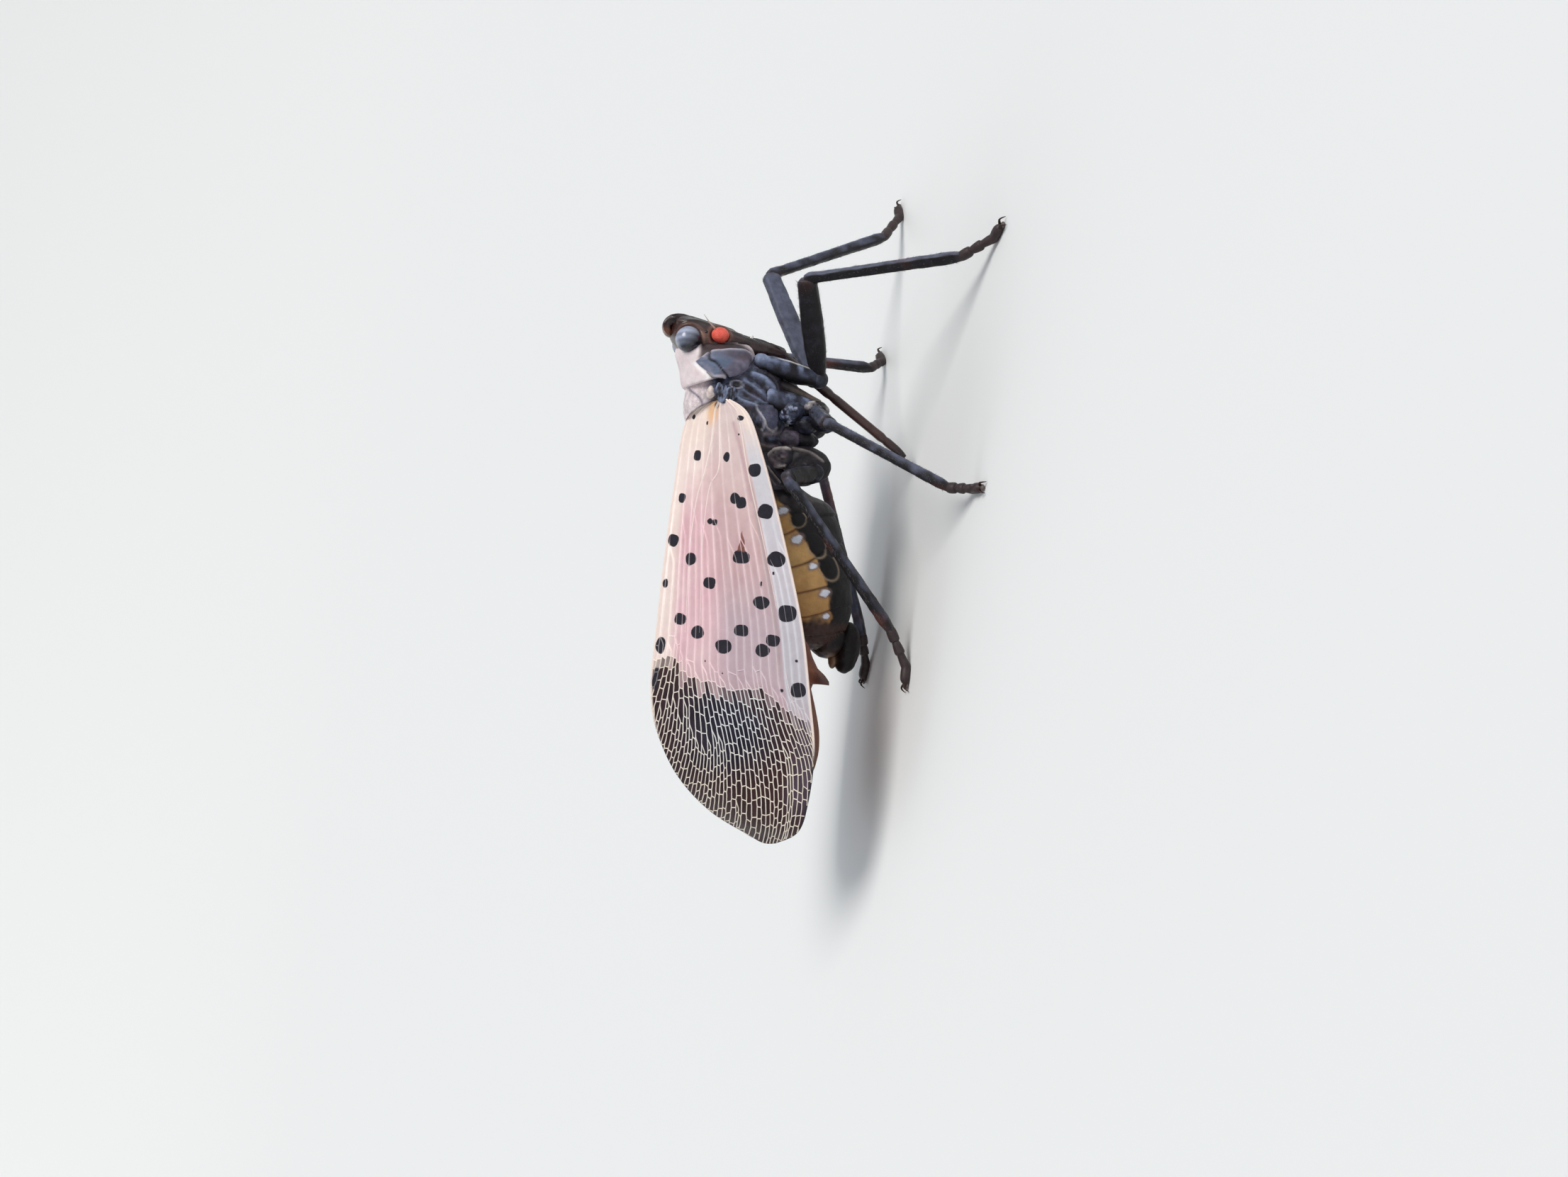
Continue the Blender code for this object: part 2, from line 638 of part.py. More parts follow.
for word, side in SIDES.items():
    solid("forewing_" + word, fore_wing(side), BODY, CREAM, 0.55)
    for carrier in (pronotum, thorax, abdomen):
        clear(carrier, fore_wing_room(side))
    clear(thorax, ball(on_side(PIT_CENTRE, side), PIT_RADII, 10, 7))
    hind = solid("hindwing_" + word, hind_wing(side), BODY, RUST, 0.6)
    clear(hind, BELLY_ROOM, *THORAX_ROOM)
    tegula = solid("tegula_" + word, ball(on_side(TEGULA_CENTRE, side), TEGULA_RADII, 12, 8), BODY, PALE, 0.6)
    clear(tegula, fore_wing_room(side), PRONOTUM_ROOM, *THORAX_ROOM)


# Legs
def foot(ankle, toe, plane):
    """Short joints from the ankle down to a pad that lies flat on the floor."""
    out = Vector((toe.x - ankle.x, toe.y - ankle.y, 0)).normalized()
    across = Vector((-out.y, out.x, 0))
    pad = toe - out * PAD_LENGTH
    pad.z = PAD_HEIGHT
    marks = [(ankle.lerp(pad, share), radius, 1.0) for share, radius in FOOT_JOINTS]
    marks += [(pad, PAD_RADIUS, PAD_SPREAD), (toe - out * PAD_END, PAD_RADIUS, PAD_SPREAD)]
    marks.append((toe + out * TOE_REACH, TOE_RADIUS, 1.0))
    rings = []
    for i, (place, radius, spread) in enumerate(marks):
        way = (marks[min(len(marks) - 1, i + 1)][0] - marks[max(0, i - 1)][0]).normalized()
        lift = across.cross(way)
        lift *= math.copysign(1.0, lift.z)
        ring = oval(place, across, lift, radius * spread, radius, FOOT_SIDES, 2.0, math.pi / FOOT_SIDES)
        if i == 0:
            ring = on_plane(ring, way, plane)
        for p in ring:
            p.z = max(0.0, p.z)
        rings.append(ring)
    return loft(rings)


def claws(ankle, toe):
    """The two claws that curve forward and down past the pad."""
    out = Vector((toe.x - ankle.x, toe.y - ankle.y, 0)).normalized()
    across = Vector((-out.y, out.x, 0))
    for turn in (-1, 1):
        root = toe - out * CLAW_ROOT[0] + across * (turn * CLAW_ROOT[1])
        tip = toe + out * CLAW_REACH + across * (turn * CLAW_SPREAD)
        bend = root.lerp(tip, CLAW_BEND) + Vector((0, 0, CLAW_RISE))
        tip.z = CLAW_TIP_HEIGHT
        yield tube((root, bend, tip), CLAW_RADII, 1)


def sized(shape, size):
    return [(share, wide * size[0], thick * size[1]) for share, wide, thick in shape]


def leg(name, places):
    """Coxa on the body, then femur with its knob, tibia and foot over the floor."""
    pair, word = name.split("_")
    side = SIDES[word]
    seat, knee, ankle = (on_side(place, side) for place in places[:3])
    toe = on_side((*places[3], TOE_HEIGHT), side)
    hip = LEAN_MATRIX @ seat
    flat = (knee - hip).cross(ankle - knee).cross(knee - hip)
    femur_rings = sized(FEMUR_SHAPE, FEMUR_SIZES[pair])
    knob = (KNOB_RADIUS,) * 3

    femur_shape = rod(hip, knee, femur_rings, FEMUR_SIDES, flat, (None, mitre(hip, knee, ankle, -GAP / 2)))
    femur = solid("femur_" + name, femur_shape, GROUND, DARK, 0.4)
    join(femur, ball(hip, knob, 10, 7), parent=GROUND)

    if pair == "hind":
        coxa_shape = ball(on_side(HIND_COXA_CENTRE, side), HIND_COXA_RADII, 16, 11)
    else:
        base, size = COXAE[pair]
        coxa_shape = rod(on_side(base, side), seat, sized(COXA_SHAPE, size), COXA_SIDES, Vector((1, 0, 0)))
    coxa = solid("coxa_" + name, coxa_shape, BODY, SLATE, 0.5)
    femur_room = rod(hip, knee, femur_rings, FEMUR_SIDES, flat, grow=GAP)
    clear(coxa, PRONOTUM_ROOM, *THORAX_ROOM)
    clear(coxa, ball(hip, knob, 10, 7, GAP), femur_room, parent=GROUND)

    ends = (mitre(hip, knee, ankle, GAP / 2), mitre(knee, ankle, toe, -GAP / 2))
    tibia_shape = rod(knee, ankle, sized(TIBIA_SHAPE, TIBIA_SIZE), TIBIA_SIDES, flat, ends)
    solid("tibia_" + name, tibia_shape, GROUND, DARK, 0.4)
    tarsus = solid("tarsus_" + name, foot(ankle, toe, mitre(knee, ankle, toe, GAP / 2)), GROUND, DARK, 0.45)
    join(tarsus, *claws(ankle, toe), parent=GROUND)


for name, places in LEGS.items():
    leg(name, places)


# Set the bottom centre of the whole on the origin, and shade the round pieces smooth
bpy.context.view_layer.update()
corners = [obj.matrix_world @ v.co for obj in PARTS.objects if obj.type == "MESH" for v in obj.data.vertices]
low = Vector([min(p[i] for p in corners) for i in range(3)])
high = Vector([max(p[i] for p in corners) for i in range(3)])
GROUND.location = (-(low.x + high.x) / 2, -(low.y + high.y) / 2, -low.z)
for obj in PARTS.objects:
    if obj.type == "MESH":
        obj.data.shade_smooth()
        obj.data.set_sharp_from_angle(angle=SHARP_ANGLE)
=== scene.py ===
"""Looks of the spotted lanternfly: netted and spotted wings, waxy body, banded belly, hairy legs."""
import itertools
import math

import bpy
import numpy as np
from mathutils import Matrix, Vector


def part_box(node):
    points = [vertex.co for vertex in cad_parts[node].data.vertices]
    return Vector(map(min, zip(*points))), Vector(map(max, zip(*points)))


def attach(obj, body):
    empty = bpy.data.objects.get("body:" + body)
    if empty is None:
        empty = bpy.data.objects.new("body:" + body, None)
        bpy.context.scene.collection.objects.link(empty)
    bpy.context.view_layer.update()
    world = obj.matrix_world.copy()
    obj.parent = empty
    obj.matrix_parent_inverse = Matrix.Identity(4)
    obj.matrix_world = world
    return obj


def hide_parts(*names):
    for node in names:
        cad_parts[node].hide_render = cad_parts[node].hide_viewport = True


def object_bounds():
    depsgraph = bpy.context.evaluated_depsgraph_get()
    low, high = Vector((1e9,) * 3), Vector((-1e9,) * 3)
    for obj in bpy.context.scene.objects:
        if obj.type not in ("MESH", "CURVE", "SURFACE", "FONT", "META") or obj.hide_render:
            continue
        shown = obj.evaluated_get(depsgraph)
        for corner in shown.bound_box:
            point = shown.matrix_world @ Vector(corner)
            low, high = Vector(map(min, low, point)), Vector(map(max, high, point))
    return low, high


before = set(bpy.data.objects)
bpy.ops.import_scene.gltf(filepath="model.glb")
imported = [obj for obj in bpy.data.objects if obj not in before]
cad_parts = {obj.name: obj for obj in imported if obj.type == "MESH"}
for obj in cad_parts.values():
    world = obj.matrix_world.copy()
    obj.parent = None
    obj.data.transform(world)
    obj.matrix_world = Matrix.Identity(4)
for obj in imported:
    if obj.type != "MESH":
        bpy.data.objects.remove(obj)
CAD_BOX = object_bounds()

# Lengths below are in mm, in the body's frame before it leans; the legs stand in the upright frame
MM = 0.001
LEAN = math.radians(8)
LEAN_HEIGHT = 6.0
SIDES = {"right": -1, "left": 1}

# Head, from the crown down: height, front, back, half width
HEAD_ROWS = (
    (12.80, 6.25, 5.85, 0.22), (12.70, 6.45, 5.65, 0.55), (12.46, 6.80, 5.35, 1.05),
    (12.00, 6.84, 5.04, 1.38), (11.30, 6.75, 4.95, 1.52), (10.60, 6.63, 5.00, 1.54),
    (9.95, 6.52, 5.10, 1.44), (9.45, 6.34, 5.20, 1.26), (9.00, 6.26, 5.30, 1.02),
    (8.50, 6.22, 5.35, 0.86), (8.00, 6.14, 5.40, 0.70), (7.50, 6.04, 5.44, 0.50),
    (7.10, 5.92, 5.50, 0.34),
)
# Horn: x, height, half width, half thickness
HORN_ROWS = (
    (6.52, 11.70, 0.66, 0.30), (6.62, 12.10, 0.62, 0.29), (6.66, 12.45, 0.58, 0.27),
    (6.58, 12.78, 0.52, 0.25), (6.38, 12.96, 0.48, 0.23), (6.16, 12.97, 0.44, 0.21),
    (5.98, 12.86, 0.40, 0.19), (5.90, 12.70, 0.34, 0.16),
)
EYE_CENTRE = (5.65, 1.42, 11.92)
EYE_RADIUS = 0.63
OCELLUS = (6.10, 1.50, 11.12)
BULB_CENTRE = (6.04, 1.66, 10.46)
BULB_RADII = (0.37, 0.36, 0.42)
BRISTLE = ((6.26, 1.80, 10.72), (6.52, 1.95, 11.05), (6.88, 2.00, 11.38))
BRISTLE_RADII = (0.055, 0.035, 0.012)
STALK_OFFSET = (0.06, 0.28, 0.02)
STALK_RADII = (0.24, 0.26, 0.26)
OCELLUS_RADII = (0.09, 0.07, 0.09)
CRUMB_CENTRE = (6.27, -0.50, 8.88)
CRUMB_SIZE = 0.12
HEAD_POWER = 2.8
CUP_FORM = (1.05, 1.2, 1.0)
# Lines of the head in side view: keel of the face, groove of the cheek, edge of the crown
FACE_KEEL = ((6.45, 12.55), (6.62, 11.6), (6.50, 10.8), (6.30, 9.8), (6.12, 8.8))
CHEEK_GROOVE = ((5.15, 12.35), (5.35, 11.15), (5.75, 10.0), (5.80, 9.0))
CROWN_EDGE = ((5.0, 12.45), (4.95, 12.0))

# Body lofts along X: x at the top, x at the bottom, half width, top, bottom
PRONOTUM_ROWS = (
    (5.50, 5.92, 1.55, 12.16, 9.05), (5.42, 5.84, 1.78, 12.30, 8.82), (5.00, 5.60, 2.20, 12.34, 8.62),
    (4.40, 5.20, 2.42, 12.10, 8.55), (3.80, 4.85, 2.50, 11.92, 8.62), (3.48, 4.62, 2.46, 11.80, 8.72),
    (3.42, 4.56, 2.34, 11.68, 8.86),
)
PRONOTUM_FORM = (2.4, 0.18)
# Side lobe of the pronotum in side view, and the groove across it
LOBE_OUTLINE = (
    (4.61, 11.44), (5.15, 10.88), (5.30, 10.28), (5.40, 9.75), (5.46, 9.30), (5.36, 8.95), (5.00, 8.78),
    (4.47, 8.80), (4.07, 8.98), (3.93, 9.38), (4.00, 9.73), (4.03, 10.12), (3.98, 10.36), (3.96, 10.58),
    (4.14, 10.82), (4.36, 11.17),
)
LOBE_GROOVE = ((5.12, 10.86), (4.77, 10.83), (4.61, 10.49), (4.28, 10.15), (4.00, 9.74))
COLLAR_EDGE = ((4.52, 11.50), (4.18, 11.10), (3.95, 10.80), (3.66, 10.92))
THORAX_ROWS = (
    (4.40, 5.40, 1.90, 11.50, 8.05), (3.60, 4.60, 2.20, 11.66, 7.15), (3.05, 3.75, 2.38, 11.68, 6.85),
    (2.20, 2.50, 2.44, 11.60, 6.55), (1.20, 1.20, 2.40, 11.20, 6.40), (0.20, 0.20, 2.34, 10.70, 6.20),
    (-0.60, -0.60, 2.28, 10.30, 5.85), (-1.30, -1.30, 2.10, 10.00, 5.20),
)
THORAX_FORM = (2.6, 0.35)
ABDOMEN_ROWS = (
    (-0.50, -0.50, 1.70, 10.00, 5.70), (-0.90, -0.90, 2.12, 10.00, 5.00), (-1.25, -1.25, 2.36, 9.90, 4.00),
    (-2.10, -2.10, 2.64, 9.70, 3.47), (-3.10, -3.10, 2.80, 9.40, 3.06), (-4.10, -4.10, 2.85, 9.00, 2.71),
    (-5.10, -5.10, 2.80, 8.50, 2.45), (-6.10, -6.10, 2.60, 7.85, 2.28), (-7.00, -7.00, 2.22, 7.05, 2.42),
    (-7.80, -7.80, 1.66, 6.15, 2.85), (-8.22, -8.22, 1.00, 5.35, 3.35), (-8.34, -8.34, 0.45, 4.85, 3.85),
)
ABDOMEN_FORM = (2.2, 0.25)
LOBE_CENTRE = (-8.00, 0.0, 2.26)
LOBE_RADII = (1.28, 0.82, 0.66)
BEAK = ((5.76, 0.0, 7.40), (4.55, 0.0, 5.42), (3.10, 0.0, 3.06), (1.95, 0.0, 1.19), (1.60, 0.0, 0.62))
BEAK_RADII = (0.26, 0.24, 0.23, 0.21, 0.10)
BEAK_JOINTS = (0.34, 0.66)
TEGULA_CENTRE = (3.22, 2.34, 10.62)
TEGULA_RADII = (0.34, 0.12, 0.19)
# Small plates below the tegula: centre and radii
SCLERITES = (
    ((3.32, 2.30, 10.22), (0.44, 0.14, 0.19)), ((3.24, 2.36, 9.98), (0.42, 0.13, 0.17)),
    ((3.20, 2.40, 9.74), (0.40, 0.12, 0.17)), ((3.28, 2.40, 9.50), (0.34, 0.11, 0.15)),
    ((2.96, 2.36, 9.86), (0.18, 0.16, 0.40)),
)
TAIL_LOBES = (
    (LOBE_CENTRE, LOBE_RADII),
    ((-7.65, 0.0, 3.25), (1.0, 1.20, 0.95)),
    ((-8.66, 0.0, 2.84), (0.44, 0.40, 0.22)),
)
TAIL_HAIRS = 900

# Fore wing from hinge to tip: x, height and outward reach of each edge
WING_BACK = (
    (2.90, 10.36, 1.85), (1.86, 11.43, 0.42), (-1.33, 11.60, 0.16), (-4.64, 11.62, 0.16),
    (-8.01, 11.56, 0.16), (-11.02, 11.46, 0.16), (-13.02, 10.96, 0.16), (-15.12, 9.70, 0.16),
    (-16.70, 7.86, 0.16), (-17.66, 5.75, 0.30),
)
WING_COSTA = (
    (2.98, 9.77, 2.60), (2.35, 8.81, 3.30), (0.51, 7.92, 3.75), (-2.40, 6.76, 4.05),
    (-6.90, 5.19, 4.50), (-10.40, 4.34, 4.75), (-12.99, 3.79, 4.75), (-15.45, 3.71, 4.20),
    (-16.89, 3.87, 3.20), (-17.73, 4.59, 1.40),
)
WING_CROWN = 0.05
TIP_CROWN = 0.12
TIP_START = 0.72
TIP_BULGE = 0.13
MEMBRANE = 0.11
WING_GRID = (430, 170)

# Black spots of the fore wing: x, height, half length, half depth
SPOTS = (
    (2.15, 9.08, 0.12, 0.14), (1.38, 9.06, 0.05, 0.04), (0.23, 10.76, 0.26, 0.16),
    (0.28, 9.46, 0.23, 0.14), (-0.21, 8.13, 0.31, 0.28), (-1.86, 11.19, 0.24, 0.16),
    (-1.62, 8.84, 0.26, 0.21), (-1.80, 8.52, 0.28, 0.22), (-2.08, 7.40, 0.35, 0.34),
    (-2.83, 9.80, 0.14, 0.12), (-2.85, 9.58, 0.15, 0.12), (-3.93, 11.33, 0.30, 0.24),
    (-4.72, 10.43, 0.30, 0.24), (-4.34, 8.19, 0.31, 0.39), (-4.24, 6.62, 0.36, 0.40),
    (-6.04, 11.44, 0.22, 0.12), (-5.74, 9.44, 0.28, 0.28), (-6.34, 7.02, 0.30, 0.36),
    (-6.68, 5.80, 0.40, 0.41), (-7.64, 10.54, 0.28, 0.27), (-8.15, 9.68, 0.31, 0.29),
    (-7.77, 7.73, 0.28, 0.33), (-9.03, 11.28, 0.40, 0.22), (-8.64, 8.43, 0.33, 0.37),
    (-8.03, 6.27, 0.28, 0.32), (-8.56, 6.67, 0.30, 0.32), (-10.16, 4.86, 0.35, 0.34),
    (-4.90, 6.66, 0.08, 0.06), (-5.47, 7.14, 0.14, 0.05), (-8.82, 5.11, 0.07, 0.07),
    (-10.29, 5.58, 0.08, 0.08), (-9.90, 8.31, 0.05, 0.04), (-9.45, 9.16, 0.05, 0.04),
    (2.06, 11.14, 0.12, 0.07), (1.81, 10.51, 0.10, 0.04), (-10.65, 11.30, 0.55, 0.16),
)
# Brown scar above one spot: its point, its foot and the foot's half width
SCAR = ((-3.05, 8.30), (-4.05, 8.20), 0.17)
# Where the dark net begins: height, then x
NET_HEIGHTS = (3.6, 4.01, 4.7, 5.29, 5.89, 6.54, 7.03, 7.87, 8.73, 9.44, 10.03, 10.49, 10.77, 11.5)
NET_STARTS = (
    -12.2, -11.94, -11.49, -11.3, -10.88, -10.35, -10.55, -10.69, -10.4, -10.4, -10.15, -9.54, -9.37, -9.72,
)
# Long veins: share of the wing's depth where they enter the net, and how far they have drifted
# in height 2, 4, 6 and 8.3 mm further on
FAN_X = -9.5
FAN_STEPS = (0.0, 2.0, 4.0, 6.0, 8.3)
FAN_SHARES = (0.0, 0.115, 0.20, 0.37, 0.60, 0.80, 0.91, 1.0)
FAN_DRIFTS = (
    (0, 0.25, 0.60, 1.00, 1.40), (0, 0.18, 0.42, 0.70, 1.00), (0, -0.35, -0.55, -0.41, -0.25),
    (0, -0.60, -1.28, -1.64, -1.90), (0, -0.59, -1.25, -1.78, -2.17), (0, -0.69, -1.59, -1.91, -1.95),
    (0, -0.66, -1.65, -2.15, -2.35), (0, -0.50, -1.25, -1.90, -2.20),
)
NET_X = -10.5
NET_SPACING = 0.195
NET_SPACING_COSTA = 0.16
WIDEST_CELL = 0.25
CELL_LENGTHS = (0.40, 0.92)
KINK = 0.014
VEIN_HALF_WIDTH = 0.032
VEIN_RISE = 0.034
VEIN_PROFILE = ((-1.0, -0.5), (-0.6, 0.7), (0.0, 1.0), (0.6, 0.7), (1.0, -0.5))
# Shares of the first and last long vein, and where the veins between them fork off
FIRST_SHARE = 0.03
LAST_SHARE = 0.985
SHARE_STEP = 0.02
EARLY_FORKS = (-4.5, -1.0)
LATE_FORKS = (0.35, 1.2)
FORK_GAP = 0.45
LAST_FORK = -17.0
FORK_LENGTHS = (1.2, 0.5)
FORK_CHANGE = -8.5
BEFORE_WING = 9.0
PAST_WING = -18.2
# Thick veins of the wing's base: shares of its length and width, then half width
STRONG_VEINS = (
    (((0.0, 0.88), (0.22, 0.82), (0.35, 0.84), (0.43, 0.85), (0.53, 0.87), (0.60, 0.93)), 0.045),
    (((0.02, 0.45), (0.14, 0.45), (0.21, 0.36), (0.26, 0.27), (0.34, 0.22), (0.46, 0.20)), 0.095),
    (((0.02, 0.55), (0.16, 0.54), (0.22, 0.51), (0.25, 0.40), (0.34, 0.33), (0.46, 0.30)), 0.080),
)
BASE_FOLD = ((1.9, 9.35), (0.3, 8.75), (-1.6, 8.1))

# Hind wing under the fore wing, in shares of the fore wing's length and width
HIND_DEPTH = 1.08
HIND_GRID = (200, 60)
HIND_SPAN = (0.16, 0.777)
HIND_BACK = 0.16
HIND_COSTA = ((0.84,), (0.87,), (0.89,), (0.90,), (0.91,), (0.960,), (0.982,), (0.962,), (0.88,))
HIND_LOBE = (
    (0.458, 0.0), (0.463, 0.030), (0.474, 0.062), (0.489, 0.066), (0.504, 0.082), (0.511, 0.118),
    (0.519, 0.134), (0.526, 0.128), (0.530, 0.070), (0.535, 0.020), (0.545, 0.0),
)
HIND_LOBE_ROOT = 0.7
HIND_LOBE_LEAN = 0.09
HIND_TUCK = {-1: (1.0, 1.0), 1: (0.90, 0.0)}

# Legs: hip on the body, then knee, ankle and claw over the floor; y is outward
LEGS = {
    "fore_right": ((4.65, 1.04, 5.42), (9.05, 3.20, 7.33), (10.63, 7.35, 1.24), (11.95, 9.20)),
    "fore_left": ((4.85, 1.04, 5.48), (9.87, 3.15, 7.70), (13.24, 6.25, 1.26), (15.20, 8.10)),
    "mid_right": ((3.08, 1.66, 5.50), (2.25, 6.40, 6.31), (-0.08, 9.40, 1.04), (0.02, 11.15)),
    "mid_left": ((3.18, 1.66, 5.62), (6.05, 4.90, 6.78), (6.43, 6.50, 1.00), (7.35, 7.95)),
    "hind_right": ((0.10, 2.48, 5.20), (-0.45, 4.80, 7.40), (-6.84, 3.60, 1.12), (-9.25, 4.00)),
    "hind_left": ((0.20, 2.40, 5.12), (1.30, 4.70, 3.62), (-7.40, 2.55, 0.68), (-9.55, 3.15)),
}
COXAE = {"fore": ((5.10, 1.75, 8.87), (0.90, 0.82)), "mid": ((3.40, 1.85, 7.80), (1.00, 0.90))}
HIND_COXA_CENTRE = (0.42, 1.85, 5.60)
HIND_COXA_RADII = (0.90, 0.68, 1.22)
HIND_RIDGE = ((1.15, 6.50), (1.12, 5.96), (0.98, 5.35), (0.70, 4.85))
CUP_CENTRE = (0.62, 2.02, 6.78)
CUP_RADII = (0.52, 0.40, 0.80)
CUP_RIM = (
    (1.09, 6.48), (1.07, 6.99), (0.84, 7.42), (0.48, 7.57), (0.20, 7.48), (0.15, 7.10), (0.27, 6.66),
)
MID_SEAM = ((2.15, 6.12), (1.70, 6.05), (1.15, 6.02))
MID_RIDGE = ((1.20, 6.95), (1.22, 6.20), (1.22, 5.30))
# Where a tapered coxa begins, as a share of the way from its centre to the hip
COXA_STARTS = {"fore": 0.05, "mid": -0.08}
STERNUM_KEEL = ((4.15, 1.0, 7.30), (3.90, 1.05, 6.45), (3.70, 1.05, 5.75), (3.58, 1.0, 5.20))
FEMUR_SIZES = {"fore": (1.08, 0.62), "mid": (0.84, 0.66), "hind": (0.84, 0.70)}
TIBIA_SIZE = (0.56, 0.52)
TOE_HEIGHT = 0.14
KNEE_OVERLAP = 0.08
RING_STEP = 0.10
# Forms of the leg parts: share of the length, then shares of the width and thickness
COXA_FORM = (
    (0, 0.5, 0.5), (0.04, 0.86, 0.86), (0.11, 0.96, 0.98), (0.16, 0.84, 0.88), (0.24, 0.98, 1.0),
    (0.5, 1.06, 1.0), (0.8, 0.95, 0.95), (0.95, 0.85, 0.9), (1.0, 0.55, 0.6),
)
FEMUR_FORM = (
    (0, 0.55, 0.75), (0.1, 0.72, 0.9), (0.3, 0.95, 1.0), (0.6, 1.0, 1.0), (0.88, 0.88, 1.0),
    (0.97, 0.86, 1.0), (1.0, 0.6, 0.75),
)
TIBIA_FORM = (
    (0, 0.7, 0.7), (0.03, 1.05, 1.0), (0.10, 0.86, 0.88), (0.5, 0.90, 0.88), (0.93, 1.0, 0.98),
    (1.0, 0.75, 0.75),
)
# Foot: share of the way from ankle to pad, then radius; and mm past the toe, then radius
FOOT_STEPS = (
    (-0.06, 0.20), (0.04, 0.25), (0.20, 0.26), (0.28, 0.24), (0.31, 0.18), (0.34, 0.19), (0.45, 0.23),
    (0.60, 0.25), (0.65, 0.19), (0.69, 0.19), (0.85, 0.22), (1.0, 0.24),
)
TOE_STEPS = ((-0.30, 0.25), (-0.12, 0.22), (0.08, 0.13))
# Looks of the leg parts: upper faces painted lighter as painted light, and each pair's femur darkened as
# painted shade
TIBIA_PAINTED_LIGHT = 0.12
FAR_FORE_PAINTED_LIGHT = 0.45
FEMUR_PAINTED_SHADE = {"fore": 1.0, "mid": 0.70, "hind": 0.35}
HAIR_CORNERS = (0, 2.094, 4.189)
HAIR_WIDTH = 0.009
HAIR_ROOT = 0.96

# Camera: looks down a little on the insect's right side, turned so that the head is up in the picture
LENS = 50.0
SENSOR = 36.0
CAMERA_PLACE = (-5.54067, -102.79187, 31.29338)
CAMERA_RISE = math.radians(14)
CAMERA_TURN = math.radians(7.5)
# Floor: sides of its rings, then its colour
FLOOR_SIDES = 96
FLOOR_COLOUR = (0.76, 0.77, 0.77)


def rgb(red, green, blue):
    """A linear colour from 0-255 display values."""
    return np.array([(c / 255 / 12.92) if c < 11 else ((c / 255 + 0.055) / 1.055) ** 2.4
                     for c in (red, green, blue)])


CREAM = rgb(236, 221, 214)
WARM_CREAM = rgb(234, 216, 206)
PINK = rgb(204, 176, 178)
LILAC = rgb(184, 168, 177)
ROSE = rgb(218, 184, 190)
SILVER = rgb(202, 201, 208)
STAIN = rgb(226, 172, 110)
SPOT = rgb(32, 30, 40)
SPOT_VEIN = rgb(92, 88, 96)
NET = rgb(226, 214, 200)
NET_BLUE = rgb(206, 214, 222)
NAVY = rgb(25, 21, 36)
MAROON = rgb(52, 29, 29)
MAUVE = rgb(84, 74, 88)
SCAR_BROWN = rgb(126, 82, 76)
HORN_BROWN = rgb(54, 32, 27)
FACE_BROWN = rgb(56, 37, 37)
FACE_BLACK = rgb(22, 17, 20)
COLLAR_PINK = rgb(220, 206, 208)
LAVENDER = rgb(92, 88, 106)
SLATE = rgb(68, 74, 96)
SLATE_DARK = rgb(30, 28, 36)
WAX_BLUE = rgb(132, 144, 174)
WAX_AND_HIGHLIGHT_WHITE = rgb(226, 224, 222)
OCHRE = rgb(196, 158, 104)
AMBER = rgb(166, 118, 66)
SEGMENT_BROWN = rgb(92, 56, 34)
BELLY_BLACK = rgb(21, 18, 21)
TAIL_BROWN = rgb(58, 40, 36)
LEG_DARK = rgb(24, 21, 24)
LEG_GREY = rgb(92, 97, 118)
LEG_RED = rgb(112, 62, 50)
RUST = rgb(184, 122, 100)
RUST_DARK = rgb(70, 38, 34)
RUST_EDGE = rgb(192, 140, 108)
GREY_PINK = rgb(208, 188, 188)
BAND_SHADOW_BROWN = rgb(164, 150, 150)
PLEAT_PAINTED_SHADE = (0.93, 0.87, 0.86)
STREAK_DUSK = (0.93, 0.86, 0.87)
VEIN_GAP_PAINTED_SHADE = (0.88, 0.83, 0.85)
FOLD_SHADE = (0.80, 0.72, 0.74)
SOCKET_BROWN = rgb(104, 72, 60)
BUMP_TAN = rgb(122, 92, 80)
CROWN_GLINT_GREY = rgb(150, 150, 158)
HORN_CLEAR = rgb(112, 66, 46)
EYE_DARK = rgb(13, 13, 18)
EYE_REFLECTION_BLUE = rgb(172, 180, 206)
EYE_BAND = rgb(74, 78, 98)
OCELLUS_BLACK = rgb(20, 16, 18)
BULB_RED = rgb(206, 68, 52)
BULB_PALE = rgb(230, 100, 82)
STALK_RED = rgb(120, 50, 40)
BRISTLE_RED = rgb(150, 60, 40)
BRISTLE_PALE = rgb(206, 200, 190)
BEAK_BROWN = rgb(66, 44, 42)
BEAK_DARK = rgb(34, 25, 28)
COLLAR_SHADE = COLLAR_PINK * (0.80, 0.72, 0.72)
COLLAR_WHITE = rgb(244, 240, 240)
LOBE_BLUE = rgb(84, 96, 120)
LOBE_STREAK = rgb(140, 132, 154)
LOBE_SHADE = rgb(74, 58, 66)
LOBE_RIM = rgb(176, 168, 178)
GAP_SHADE_BROWN = rgb(78, 66, 70)
DEEP = SLATE_DARK * 0.4
THORAX_BROWN = rgb(66, 52, 54)
THORAX_REAR = rgb(52, 42, 46)
PLATE_BLUE = rgb(82, 82, 102)
EAR_RIM = rgb(150, 150, 166)
CHALK_GREY = rgb(168, 152, 150)
CHALK_PALE = rgb(226, 212, 206)
BELLY_GREY = rgb(104, 96, 100)
PATCH_RIM = rgb(150, 132, 112)
WAX_RIM = rgb(122, 104, 102)
WAX_SPOT = rgb(212, 214, 226)
TAIL_TAN = rgb(150, 122, 96)
TAIL_HAIR = rgb(108, 92, 80)
COXA_BROWN = rgb(46, 40, 43)
COXA_RIDGE = rgb(132, 124, 122)
CUP_PALE = rgb(126, 112, 118)
CUP_EDGE = rgb(190, 182, 178)
MID_PLATE = rgb(88, 80, 94)
MID_PALE = rgb(136, 126, 126)
